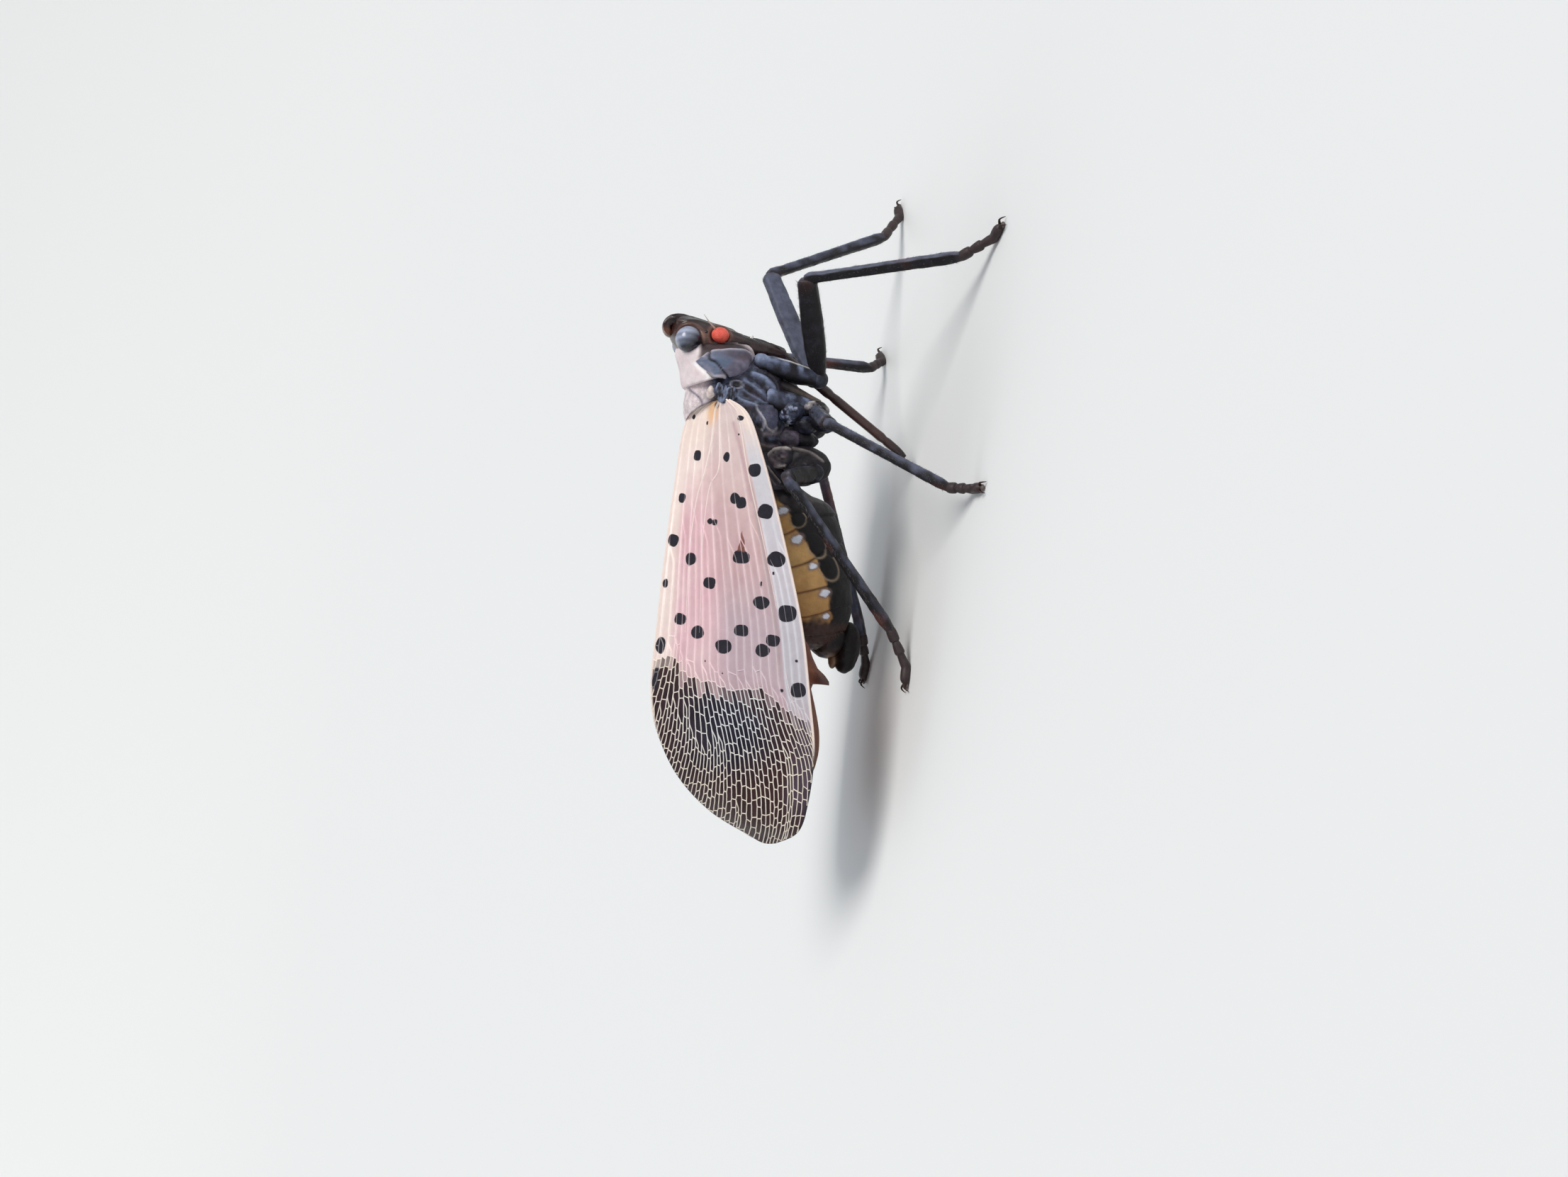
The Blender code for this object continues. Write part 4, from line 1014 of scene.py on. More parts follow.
def fore_wing(side):
    """The fore wing's membrane: a dense outer face and a plainer inner one, joined at the margin."""
    rows, cols = WING_GRID
    s, t = np.meshgrid(np.linspace(0, 1, rows), np.linspace(0, 1, cols), indexing="ij")
    outer = wing_points(s, t, side).reshape(-1, 3)
    normal = wing_normals(s, t, side).reshape(-1, 3)
    s, t = s.ravel(), t.ravel()
    x, z = outer[:, 0], outer[:, 2]
    wave = 0.010 * clouds(outer, 0.7, 2) + 0.020 * hill(t, 0.855, 0.012) * (1 - smooth_step(s, 0.50, 0.62))
    pleats = np.sum([hill(t, share, 0.011) for share in BASE_SHARES], axis=0)
    wave += 0.022 * pleats * smooth_step(x, -7.0, -2.5)
    wave *= np.clip(np.minimum.reduce([s * 40, (1 - s) * 40, t * 30, (1 - t) * 30]), 0, 1)
    colour = wing_tint(x, z, t)
    spots, scar = spot_edge(x, z), scar_edge(x, z)
    outer = outer + normal * wave[:, None]
    mark = mix(np.tile(SPOT, (len(x), 1)), SCAR_BROWN, smooth_step(scar - spots, -0.05, 0.05))
    mark = mark * (1 + 0.25 * cloud(outer, 0.12, 14))[:, None]
    margin = np.maximum(smooth_step(t, 0.988, 0.996), smooth_step(-t, -0.010, -0.003))
    colour = mix(colour, mix(WARM_CREAM, SPOT, smooth_step(-x, 12.5, 14.0)), 0.8 * margin)
    shapes = [(outer, grid_faces(rows, cols), paint(colour, 0.0, None, mark, np.maximum(spots, scar)))]
    coarse = (rows // 4, cols // 4)
    s, t = np.meshgrid(np.linspace(0, 1, coarse[0]), np.linspace(0, 1, coarse[1]), indexing="ij")
    edge = np.minimum.reduce([s * 20, (1 - s) * 20, t * 8, (1 - t) * 8])
    depth = MEMBRANE * np.sqrt(np.clip(edge / 0.12, 0, 1))
    inner = (wing_points(s, t, side) - wing_normals(s, t, side) * depth[..., None]).reshape(-1, 3)
    shade = wing_tint(inner[:, 0], inner[:, 2], t.ravel()) * 0.8
    shade = mix(shade, SPOT * 1.5, spot_mask(inner[:, 0], inner[:, 2]))
    return shapes + [(inner, grid_faces(*coarse), paint(shade, 0.2))]


def strip(places, widths, side, colour, rise=VEIN_RISE):
    """A low, round-backed vein on the wing through side-view places."""
    s, t = wing_places(places[:, 0], places[:, 1])
    keep = (t > -0.004) & (t < 1.004) & (s < 0.999)
    if keep.sum() < 2:
        return None
    first = np.argmax(keep)
    last = len(keep) if keep[first:].all() else first + np.argmin(keep[first:])
    if last - first < 2:
        return None
    part = slice(first, last)
    s, t = s[part], np.clip(t[part], 0, 1)
    p, n = wing_points(s, t, side), wing_normals(s, t, side)
    across = np.cross(n, np.gradient(p, axis=0))
    across /= np.linalg.norm(across, axis=1, keepdims=True)
    w = np.asarray(widths)[part][:, None]
    rows = [p + across * w * a + n * (rise * h * w / VEIN_HALF_WIDTH) for a, h in VEIN_PROFILE]
    return np.stack(rows, 1).reshape(-1, 3), grid_faces(len(p), 5), paint(np.repeat(colour[part], 5, axis=0))


def vein_colour(x, z):
    """Pale veins: cream in the net, pinkish on the leathery part, grey where they cross a spot."""
    net = mix(NET, NET_BLUE, 0.8 * hill(x, -12.0, 2.0) * hill(z, 7.5, 2.2))
    in_net = smooth_step(net_start(z) - x, -0.5, 0.4)
    _, t = wing_places(x, z)
    soft = mix(leather_tint(x, z, t) * 1.14 + 0.09, net, in_net)
    return mix(soft, SPOT_VEIN, 0.85 * spot_mask(x, z))


def vein_width(share):
    return VEIN_HALF_WIDTH * (1 - 0.35 * float(smooth_step(share, 0.74, 0.92)))


def wing_veins(side):
    """Long veins and cross veins of the fore wing."""
    shapes = []
    for k, z in enumerate(BENT_LINES):
        alive = ~np.isnan(z)
        x, z = VEIN_X[alive], z[alive]
        grown = smooth_step(net_start(z) - x, -4.0, 0.3)
        width = vein_width(VEIN_SHARES[k]) * (0.85 + 0.15 * grown) * (1 - 0.35 * smooth_step(x, -4.0, 0.0))
        shapes.append(strip(np.stack([x, z], -1), width, side, vein_colour(x, z)))
    f = np.linspace(0, 1, 5)
    for a, b, _, _, _, places in COLUMNS:
        for place, slant in places:
            x = place + slant * (1 - 2 * f)
            top, bottom = float(line_height(a, x[0])), float(line_height(b, x[-1]))
            if bottom < 0 or top - bottom < 0.07:
                continue
            z = top + (bottom - top) * f
            width = np.full(5, 0.92 * vein_width(VEIN_SHARES[max(a, 0)]))
            shapes.append(strip(np.stack([x, z], -1), width, side, vein_colour(x, z)))
    return [shape for shape in shapes if shape]


def strong_veins(side):
    """The few thick veins of the wing's base, and the costal vein."""
    shapes = []
    for line, width in STRONG_VEINS:
        s, t = bend(line, 120).T
        places = wing_points(s, t, side)[:, [0, 2]]
        colour = mix(CREAM * 1.08, leather_tint(places[:, 0], places[:, 1], t), 0.25)
        colour = mix(colour, SPOT_VEIN, 0.8 * spot_mask(places[:, 0], places[:, 1]))
        shapes.append(strip(places, width * np.linspace(1.0, 0.12, len(s)), side, colour, rise=0.022))
    s = np.concatenate([np.linspace(0.01, 1, 260), np.full(39, 1.0), np.linspace(1, 0.05, 260)[1:]])
    t = np.concatenate([np.full(260, 1.0), np.linspace(1, 0, 40)[1:], np.zeros(259)])
    p = wing_points(s, t, side) - wing_normals(s, t, side) * 0.03
    dark = smooth_step(-p[:, 0], 12.3, 13.6)
    shapes.append(tube_shape(p, 0.050 - 0.018 * dark, mix(WARM_CREAM, SPOT * 1.4, dark), 8))
    return [shape for shape in shapes if shape]


def lobe_drop(s):
    places, drops = zip(*HIND_LOBE)
    return np.interp(s, places, drops, left=0.0, right=0.0)


def hind_wing(side):
    """The hind wing: a thin reddish sheet whose folded edge shows below the fore wing."""
    reach, lobed = HIND_TUCK[side]
    rows, cols = HIND_GRID
    s, v = np.meshgrid(np.linspace(*HIND_SPAN, rows), np.linspace(0, 1, cols), indexing="ij")
    share = (s.ravel() - HIND_SPAN[0]) / (HIND_SPAN[1] - HIND_SPAN[0])
    edge = reach * along(HIND_COSTA, share)[:, 0].reshape(s.shape)
    lobe = lobed * lobe_drop(s) * np.maximum(0, v - HIND_LOBE_ROOT) / (1 - HIND_LOBE_ROOT)
    t = HIND_BACK + (edge - HIND_BACK) * v + lobe
    s = s + HIND_LOBE_LEAN * lobe
    p, n = wing_points(s, t, side), wing_normals(s, t, side)
    fold = 0.035 * np.sin(v * 46 + 3 * s) * smooth_step(v, 0.2, 0.9)
    fold += 0.03 * clouds(p.reshape(-1, 3), 0.6, 8).reshape(s.shape) - HIND_DEPTH
    half = 0.05 * np.sqrt(np.clip(np.minimum(1 - v, v) / 0.03, 0.02, 1))
    rim = smooth_step(v.ravel(), 0.93, 0.985)
    hook = lobed * smooth_step(lobe.ravel(), 0.07, 0.12) * smooth_step(v.ravel(), 0.78, 0.95)
    shapes = []
    for lift in (1, -1):
        q = (p + n * (fold + lift * half)[..., None]).reshape(-1, 3)
        colour = mix(RUST, RUST_EDGE, 0.6 * patches(q, 0.5, 6, 0.25, 0.5))
        colour = mix(colour, RUST_DARK, np.clip(np.maximum(0.7 * rim, hook), 0, 1))
        shapes.append((q, grid_faces(rows, cols)[:, ::lift], paint(colour)))
    return shapes


# Keeps body skins just under the fore wing
def under_wing(points, clearance=0.16):
    inside = points.copy()
    s, t = wing_places(points[:, 0], points[:, 2])
    back, costa = along(WING_BACK, s)[:, 2], along(WING_COSTA, s)[:, 2]
    inner = np.clip(t, 0, 1)
    reach = back + (costa - back) * (inner + WING_CROWN * np.sin(np.pi * inner))
    limit = np.maximum(reach - clearance, 0.02)
    over = (t > -0.03) & (t < 1.02) & (s > 0.004) & (np.abs(points[:, 1]) > limit)
    inside[over, 1] = np.sign(points[over, 1]) * limit[over]
    return inside


def tucked(shape):
    points, faces, colours = shape
    return under_wing(points), faces, colours


# Head
def head_relief(points, normals):
    _, y, z = points.T
    places, wide = from_side(points), np.abs(y)
    lateral = smooth_step(wide, 0.5, 1.0)
    eye = np.linalg.norm(np.abs(points) - EYE_CENTRE, axis=1)
    cup = np.linalg.norm((np.abs(points) - BULB_CENTRE) / CUP_FORM, axis=1)
    height = 0.07 * hill(eye, 0.74, 0.07) + 0.06 * hill(cup, 0.56, 0.07)
    height -= 0.20 * (1 - smooth_step(cup, 0.25, 0.50)) + 0.10 * (1 - smooth_step(eye, 0.35, 0.62))
    front = smooth_step(normals[:, 0], 0.3, 0.8)
    height += front * (0.06 * hill(wide, 0.45, 0.06) + 0.07 * hill(y, 0, 0.05))
    groove = crease(places, CHEEK_GROOVE, 0.07)
    height += lateral * (0.06 * crease(places, FACE_KEEL, 0.06) - 0.05 * groove)
    height += lateral * 0.05 * blob(places, (5.88, 11.28), (0.22, 0.16), 0.6)
    height += 0.012 * clouds(points, 0.25, 1)
    colour = mix(FACE_BROWN, HORN_BROWN, smooth_step(z, 11.6, 12.5))
    colour = mix(colour, FACE_BLACK, patches(points, 0.5, 2, 0.75 * front, 0.35))
    rim = hill(cup, 0.56, 0.12) + 0.7 * hill(eye, 0.76, 0.10)
    colour = mix(colour, SOCKET_BROWN, np.clip(0.8 * rim, 0, 1))
    colour = mix(colour, BUMP_TAN, lateral * blob(places, (5.86, 11.28), (0.2, 0.15), 0.6))
    colour = mix(colour, FACE_BLACK, lateral * groove * 0.8)
    # Painted glint: a pale grey line along the crown's edge
    colour = mix(colour, CROWN_GLINT_GREY, lateral * 0.5 * crease(places, CROWN_EDGE, 0.12))
    return height, colour, 0.10 * lateral


def head_grid(rows=110, cols=128):
    grid = []
    for z, front, back, half in along(HEAD_ROWS, np.linspace(0, 1, rows)):
        middle = ((front + back) / 2, 0, z)
        grid.append(ring(middle, (1, 0, 0), (0, 1, 0), (front - back) / 2, half, cols, HEAD_POWER))
    return np.array(grid)


def horn_relief(points, normals):
    height = 0.05 * hill(np.abs(points[:, 1]), 0.40, 0.06) + 0.01 * clouds(points, 0.2, 4)
    colour = mix(FACE_BLACK, HORN_BROWN, patches(points, 0.35, 3, 0.4, 0.4))
    return height, mix(colour, HORN_CLEAR, 0.8 * smooth_step(-points[:, 0], -6.35, -5.95)), 0.0


def horn_shape():
    """The short horn that curls back over the crown, with a raised rim and a hollow behind."""
    rows = bend(HORN_ROWS, 60)
    way = np.gradient(rows[:, :2], axis=0)
    way /= np.linalg.norm(way, axis=1, keepdims=True)
    grid = [ring((x, 0, z), (wz, 0, -wx), (0, 1, 0), thick, half, 48, HEAD_POWER)
            for (x, z, half, thick), (wx, wz) in zip(rows, way)]
    return skin(np.array(grid), horn_relief)


# Pronotum and thorax
def outline_edge(places, outline):
    """Signed distance in mm to a closed outline, positive inside."""
    loop = bend(tuple(outline) + (outline[0],), 6 * len(outline) + 1)
    inside = np.zeros(len(places), bool)
    for a, b in zip(loop, loop[1:]):
        between = (a[1] > places[:, 1]) != (b[1] > places[:, 1])
        cross = a[0] + (b[0] - a[0]) * (places[:, 1] - a[1]) / (b[1] - a[1] + 1e-12)
        inside ^= between & (places[:, 0] < cross)
    return off_line(places, loop) * np.where(inside, 1, -1)


def collar_relief(points, normals):
    x, y, z = points.T
    places = from_side(points)
    lateral = smooth_step(np.abs(y), 0.9, 1.5)
    edge = outline_edge(places, LOBE_OUTLINE)
    lobe = smooth_step(edge, -0.03, 0.03)
    groove = crease(places, LOBE_GROOVE, 0.045)
    rim = hill(edge, 0.06, 0.05) * (1 - smooth_step(z, 10.5, 10.9) * (x < 4.8))
    beyond = smooth_step(x - 0.38 * (11.4 - z), 4.55, 4.75) + 1 - smooth_step(z, 10.35, 10.5)
    beyond = (1 - lobe) * np.clip(beyond, 0, 1) * (1 - smooth_step(z, 11.25, 11.45))
    dome = blob(places, (4.72, 9.60), (0.62, 0.95), 0.6)
    height = lateral * (0.10 * lobe + 0.05 * dome - 0.12 * groove + 0.03 * rim - 0.10 * beyond)
    height += lateral * lobe * 0.02 * clouds(points * (1.3, 1, 0.7), 0.20, 17)
    height += smooth_step(z, 11, 11.6) * (0.07 * hill(y, 0, 0.07) + 0.05 * hill(np.abs(y), 0.8, 0.10))
    height += 0.015 * clouds(points, 0.35, 12)
    colour = mix(COLLAR_PINK, COLLAR_SHADE, 0.5 * patches(points, 0.5, 14, 0, 1))
    colour = mix(colour, COLLAR_WHITE, 0.9 * crease(places, COLLAR_EDGE, 0.10) * lateral)
    on_lobe = mix(LAVENDER, LOBE_BLUE, smooth_step(z - 10.15 + 0.9 * (x - 4.28), 0.0, 0.12))
    on_lobe = mix(on_lobe, LOBE_STREAK, 0.75 * patches(points * (1.4, 1, 0.55), 0.34, 13, 0.25, 0.9))
    on_lobe = mix(on_lobe, LOBE_SHADE, 0.7 * blob(places, (5.10, 9.55), (0.22, 0.85), 0.7))
    on_lobe = mix(on_lobe, LOBE_RIM, 0.8 * rim)
    on_lobe = mix(on_lobe, SLATE_DARK * 0.6, np.clip(1.1 * groove, 0, 1))
    colour = mix(colour, on_lobe, lobe * lateral)
    # Painted shade: beyond the lobe the collar sinks into the gaps by the head and thorax and is painted
    # dark, browner like the face towards the head
    behind = mix(SLATE_DARK, GAP_SHADE_BROWN, patches(points, 0.3, 15, 0.5, 0.8))
    colour = mix(colour, mix(behind, FACE_BROWN, 0.5 * (x > 4.8)), beyond * lateral)
    shadow = hill(edge, -0.05, 0.035) * (z < 10.9)
    colour = mix(colour, SLATE_DARK * 0.5, 0.85 * shadow * lateral)
    return height, colour, patches(points, 0.4, 15, 0.35, 0.3)


# Lines of the thorax's side in side view: places, width, rise, colour and strength
THORAX_LINES = (
    (((4.56, 8.71), (4.51, 8.31), (4.35, 7.78), (4.06, 7.45), (3.67, 7.40), (3.24, 7.29)),
     0.06, -0.10, DEEP, 1.0),
    (((4.45, 8.64), (4.29, 8.17), (4.02, 7.74), (3.72, 7.47)), 0.12, 0.06, WAX_BLUE, 0.85),
    (((4.21, 8.78), (3.99, 8.36), (3.71, 7.92), (3.41, 7.65)), 0.07, -0.07, SLATE_DARK, 0.85),
    (((4.00, 9.04), (3.74, 8.49), (3.46, 8.06)), 0.09, 0.06, WAX_BLUE * 0.8, 0.7),
    (((3.83, 9.07), (3.61, 8.65), (3.38, 8.22), (3.19, 7.97)), 0.09, -0.07, rgb(46, 36, 42), 0.9),
    (((3.62, 9.20), (3.40, 8.80), (3.20, 8.30), (3.05, 7.90)), 0.06, 0.05, WAX_BLUE * 0.8, 0.5),
    (((3.41, 9.64), (3.18, 9.22), (2.98, 8.68), (2.97, 8.34)), 0.10, 0.07, WAX_BLUE, 0.9),
    (((3.26, 9.30), (3.12, 8.95), (3.05, 8.50)), 0.05, -0.06, SLATE_DARK, 0.8),
    (((2.96, 8.39), (2.75, 8.31), (2.50, 8.10), (2.19, 7.89), (1.78, 7.95)),
     0.05, 0.08, rgb(184, 184, 198), 0.9),
    (((3.18, 7.32), (2.80, 7.21), (2.47, 7.14), (2.08, 7.15)), 0.07, -0.10, DEEP, 0.9),
    (((2.97, 8.39), (3.03, 7.94), (3.15, 7.50)), 0.05, -0.08, DEEP, 0.8),
    (((2.25, 7.89), (1.93, 7.73), (1.80, 7.43), (2.06, 7.18)), 0.05, 0.06, rgb(160, 152, 152), 0.8),
    (((1.98, 8.16), (1.90, 8.02)), 0.11, -0.08, BELLY_BLACK * 0.5, 1.0),
    (((1.59, 7.79), (1.72, 7.30), (1.89, 6.86)), 0.10, 0.07, rgb(118, 106, 108), 0.75),
    (((1.38, 7.71), (1.29, 7.47), (1.36, 7.02)), 0.07, -0.10, DEEP, 0.9),
    (((1.12, 8.02), (1.05, 7.60), (1.12, 7.10)), 0.08, 0.07, rgb(112, 98, 98), 0.7),
    (((0.78, 8.20), (0.72, 7.90), (0.80, 7.60)), 0.06, -0.08, DEEP, 0.8),
    (((0.10, 7.44), (-0.19, 7.12), (-0.54, 6.74)), 0.05, 0.07, rgb(160, 150, 144), 0.85),
    (((0.02, 7.20), (-0.30, 6.86), (-0.62, 6.42)), 0.07, -0.08, DEEP, 0.8),
    (((0.38, 8.05), (0.05, 7.78), (-0.35, 7.40), (-0.70, 7.00)), 0.06, 0.07, rgb(132, 116, 110), 0.7),
    (((0.00, 6.60), (-0.32, 6.20), (-0.50, 5.80)), 0.08, 0.06, rgb(96, 82, 80), 0.7),
    (((2.70, 9.40), (2.10, 8.95), (1.50, 8.60), (0.80, 8.45)), 0.08, -0.06, SLATE_DARK, 0.7),
)
PLATE_OUTLINE = ((2.97, 8.36), (3.14, 7.36), (2.10, 7.20), (1.84, 7.43), (1.84, 7.90), (2.48, 8.06))
EAR = ((3.76, 9.42), (0.20, 0.30))
BACK_RIDGE = ((3.3, 11.5), (2.9, 11.0), (2.4, 10.9), (1.8, 11.3))


def thorax_relief(points, normals):
    x, y, z = points.T
    places = from_side(points)
    lateral = smooth_step(np.abs(y), 1.2, 1.9)
    fold = hill(clouds(points * (1.5, 1, 0.6), 0.36, 27), 0, 0.10)
    height = 0.03 * clouds(points, 0.5, 21) + 0.012 * cloud(points, 0.12, 25) - 0.035 * lateral * fold
    colour = mix(SLATE_DARK, SLATE, patches(points, 0.45, 22, 0.45, 0.9))
    colour = mix(colour, THORAX_BROWN, 0.8 * patches(points, 0.8, 26, 0, 0.9))
    streak = patches(points * (0.6, 1, 1.5), 0.26, 24, 0, 0.9)
    colour = mix(colour, WAX_BLUE, 0.55 * lateral * streak * (0.25 + 0.75 * smooth_step(x, 0.6, 2.4)))
    colour = mix(colour, DEEP, 0.55 * lateral * fold)
    plate = smooth_step(outline_edge(places, PLATE_OUTLINE), -0.03, 0.04) * lateral
    height += 0.06 * plate
    colour = mix(colour, PLATE_BLUE * (1 + 0.25 * clouds(points, 0.3, 28))[:, None], 0.85 * plate)
    colour = mix(colour, THORAX_REAR, (1 - smooth_step(x, 0.6, 1.6)) * 0.7)
    for line, width, rise, tone, strength in THORAX_LINES:
        near = crease(places, line, width) * lateral
        height += rise * near
        colour = mix(colour, tone, strength * near)
    ear = np.linalg.norm((places - EAR[0]) / EAR[1], axis=1)
    colour = mix(colour, SLATE_DARK * 0.6, lateral * (1 - smooth_step(ear, 0.55, 0.85)))
    colour = mix(colour, EAR_RIM, 0.8 * lateral * hill(ear, 1.0, 0.14))
    height += lateral * (0.05 * hill(ear, 1.0, 0.16) - 0.05 * (1 - smooth_step(ear, 0.5, 0.9)))
    above = smooth_step(z, 10.4, 11.0)
    colour = mix(colour, COLLAR_PINK * 0.86, above)
    colour = mix(colour, LAVENDER, 0.8 * crease(places, BACK_RIDGE, 0.06) * above)
    return height, colour, np.clip(0.15 + 0.6 * streak + 0.4 * above, 0, 1)


# Abdomen: slanted segment lines, dark belly plates and wax spots
RING_LINES = (
    ((-3.25, 8.2), (-3.20, 7.2), (-3.03, 6.33), (-2.56, 5.62), (-2.04, 5.20), (-1.80, 4.4), (-1.7, 3.5)),
    ((-4.75, 8.0), (-4.72, 6.8), (-4.54, 5.84), (-4.07, 4.85), (-3.31, 4.10), (-3.0, 3.4), (-2.9, 2.9)),
    ((-5.95, 7.6), (-5.90, 6.4), (-5.72, 5.39), (-5.40, 4.47), (-5.08, 3.70), (-4.7, 3.1), (-4.5, 2.5)),
    ((-6.95, 7.0), (-6.90, 5.8), (-6.78, 4.80), (-6.55, 4.11), (-6.25, 3.50), (-6.0, 2.9), (-5.9, 2.2)),
    ((-7.75, 6.2), (-7.72, 5.2), (-7.66, 4.40), (-7.50, 3.60), (-7.30, 2.95), (-7.2, 2.4), (-7.1, 2.0)),
)
WAX_SPOTS = (
    (-1.90, 6.50, 0.21), (-3.14, 5.66, 0.23), (-4.31, 4.72, 0.18), (-5.52, 3.98, 0.21), (-6.61, 3.74, 0.14),
)
WAX_TURN = np.array([[0.5, 0.87], [-0.87, 0.5]])
BACK_BAND = 1.25
BELLY_PATCHES = (
    ((-2.20, 5.72), (0.34, 0.36), 0.5),
    ((-3.28, 4.70), (0.58, 0.40), 0.6),
    ((-4.22, 4.00), (0.66, 0.42), 0.7),
)
BELLY_BORDER = (
    (-1.0, 7.0), (-2.34, 6.0), (-3.44, 5.02), (-4.48, 4.26), (-5.47, 3.80), (-6.4, 3.55), (-8.5, 3.4),
)


def belly_relief(points, normals):
    x, _, z = points.T
    places = from_side(points)
    lines, step, rims, bloom = np.zeros((4, len(x)))
    for line in RING_LINES:
        line_x, line_z = np.array(line[::-1]).T
        d = off_line(places, bend(line))
        lines = np.maximum(lines, hill(d, 0, 0.055))
        step += np.where(x < np.interp(z, line_z, line_x), -1, 1) * hill(d, 0, 0.22)
    height = -0.05 * lines + 0.035 * np.clip(step, -1, 1) + 0.02 * clouds(points, 0.5, 31)
    height += 0.012 * patches(points * (3.0, 1, 1), 0.35, 34, 0, 1, 1)
    border_x, border_z = np.array(BELLY_BORDER).T
    border = np.interp(-x, -border_x, border_z)
    black = 1 - smooth_step(z - border + 0.12 * clouds(points, 0.4, 32), -0.10, 0.10)
    colour = mix(AMBER, OCHRE, patches(points, 0.9, 33, 0.65, 0.5))
    colour = mix(colour, AMBER * 0.8, 0.6 * smooth_step(-x, 5.2, 6.6))
    colour = mix(colour, SEGMENT_BROWN, 0.9 * lines)
    colour = mix(colour, BELLY_BLACK, black)
    for centre, radii, turn in BELLY_PATCHES:
        c, s = math.cos(turn), math.sin(turn)
        local = (places - centre) @ np.array([[c, -s], [s, c]])
        d = np.linalg.norm(local / radii, axis=1)
        patch = 1 - smooth_step(d, 0.92, 1.04)
        colour = mix(colour, BELLY_BLACK, patch)
        rims = np.maximum(rims, hill(d, 1.16, 0.10) * (local[:, 0] < 0.2))
        height += 0.04 * patch
    colour = mix(colour, PATCH_RIM, 0.75 * rims * (z < border + 0.5))
    rear = smooth_step(-x + 0.25 * clouds(points, 0.5, 35), 6.55, 7.15)
    colour = mix(colour, TAIL_BROWN, rear)
    fore = 1 - smooth_step(-x + 0.2 * clouds(points, 0.5, 38), 1.0, 1.8)
    colour = mix(colour, mix(BELLY_BLACK, BELLY_GREY, patches(points, 0.5, 43, 0.4, 0.8)), fore * 0.9)
    bands = 0.5 + 0.5 * np.sign(np.sin(x * 2 * math.pi / BACK_BAND))
    colour = mix(colour, BELLY_BLACK, smooth_step(z, 7.6, 8.3) * bands)
    ragged = 0.05 * np.stack([cloud(points, 0.15, 36), cloud(points, 0.15, 37)], -1)
    crumbs = 0.05 + 0.03 * cloud(points, 0.07, 39)
    for spot_x, spot_z, size in WAX_SPOTS:
        local = (places - (spot_x, spot_z)) @ WAX_TURN + ragged
        lump = blob(local, (0, 0), (size * 1.15, size * 0.80), 0.10)
        rim = blob(local, (0, 0), (size * 1.7, size * 1.25), 0.3)
        colour = mix(mix(colour, WAX_RIM, 0.75 * rim * (1 - lump)), WAX_SPOT, lump)
        height += lump * crumbs
        bloom = np.maximum(bloom, lump)
    height += rear * 0.03 * cloud(points, 0.15, 40)
    return height, colour, bloom


def tail_relief(points, normals):
    colour = mix(BELLY_BLACK, TAIL_BROWN, patches(points, 0.4, 41, 0.3, 0.5))
    colour = mix(colour, BELLY_BLACK * 0.5, 0.8 * (1 - smooth_step(points[:, 2], 2.5, 2.9)))
    colour = mix(colour, TAIL_TAN, 0.7 * blob(from_side(points), (-8.75, 3.0), (0.35, 0.25), 0.5))
    return 0.04 * clouds(points, 0.4, 42), colour, 0.0


# Legs
def scaled(form, wide, thick):
    """Shares along a limb with its width and thickness there."""
    return np.array(form) * (1, wide, thick)


def cross_section(a, b, flat):
    """A limb's direction, and the directions of its width and thickness."""
    way = (b - a) / np.linalg.norm(b - a)
    u = flat - way * (flat @ way)
    u /= np.linalg.norm(u)
    return way, u, np.cross(way, u)


def halves(sizes, share):
    """Half the width and half the thickness of a limb at shares of its length."""
    return [np.interp(share, sizes[:, 0], sizes[:, k]) / 2 for k in (1, 2)]


def limb(a, b, sizes, flat, colours, sides, power, seed):
    """A straight limb with keeled edges: sizes are share, width and thickness along it."""
    _, u, v = cross_section(a, b, flat)
    shares = np.linspace(0, 1, max(8, int(np.linalg.norm(b - a) / RING_STEP)))
    grid = [ring(a + (b - a) * f, u, v, wide, thick, sides, power, math.pi / 4)
            for f, wide, thick in zip(shares, *halves(sizes, shares))]

    def relief(points, normals):
        colour = colours(points, normals, np.repeat(shares, sides))
        return 0.012 * clouds(points, 0.22, seed), colour, patches(points, 0.3, seed, 0.25, 0.4, 1)
    return skin(np.array(grid), relief)


def leg_colours(name, tibia, seed):
    """Dark legs: greyer on upper faces as painted light, reddish in patches, browner at the joints."""
    pair = name.split("_")[0]

    def colours(points, normals, share):
        # Painted light: faces turned forward and up are painted greyer
        painted_light = 0.75 * normals[:, 0] + 0.45 * normals[:, 2] + 0.30 * cloud(points, 0.35, seed)
        # A hind tibia gets a painted highlight on its outer and inner faces; other tibiae and the far fore
        # femur get more painted light all over
        if tibia and pair == "hind":
            painted_light += 0.5 * np.abs(normals[:, 1])
        elif tibia:
            painted_light += TIBIA_PAINTED_LIGHT
        elif name == "fore_left":
            painted_light += FAR_FORE_PAINTED_LIGHT
        grey = patches(points * 0.6, 0.12, seed + 1, 0.75 * smooth_step(painted_light, 0.15, 0.75), 0.10, 1)
        colour = mix(LEG_DARK, LEG_GREY, grey)
        red = patches(points, 1.5, seed + 3, -0.5, 2.0, 1)
        colour = mix(colour, LEG_RED, 0.75 * red * (1.0 if tibia else 0.45))
        # Painted shade: each pair's femur is darkened, most on the hind legs
        if not tibia:
            colour = colour * FEMUR_PAINTED_SHADE[pair]
        joint = smooth_step(share, 0.96, 1.0) + 1 - smooth_step(share, 0.0, 0.04)
        return mix(colour, JOINT_BROWN, 0.45 * joint)
    return colours


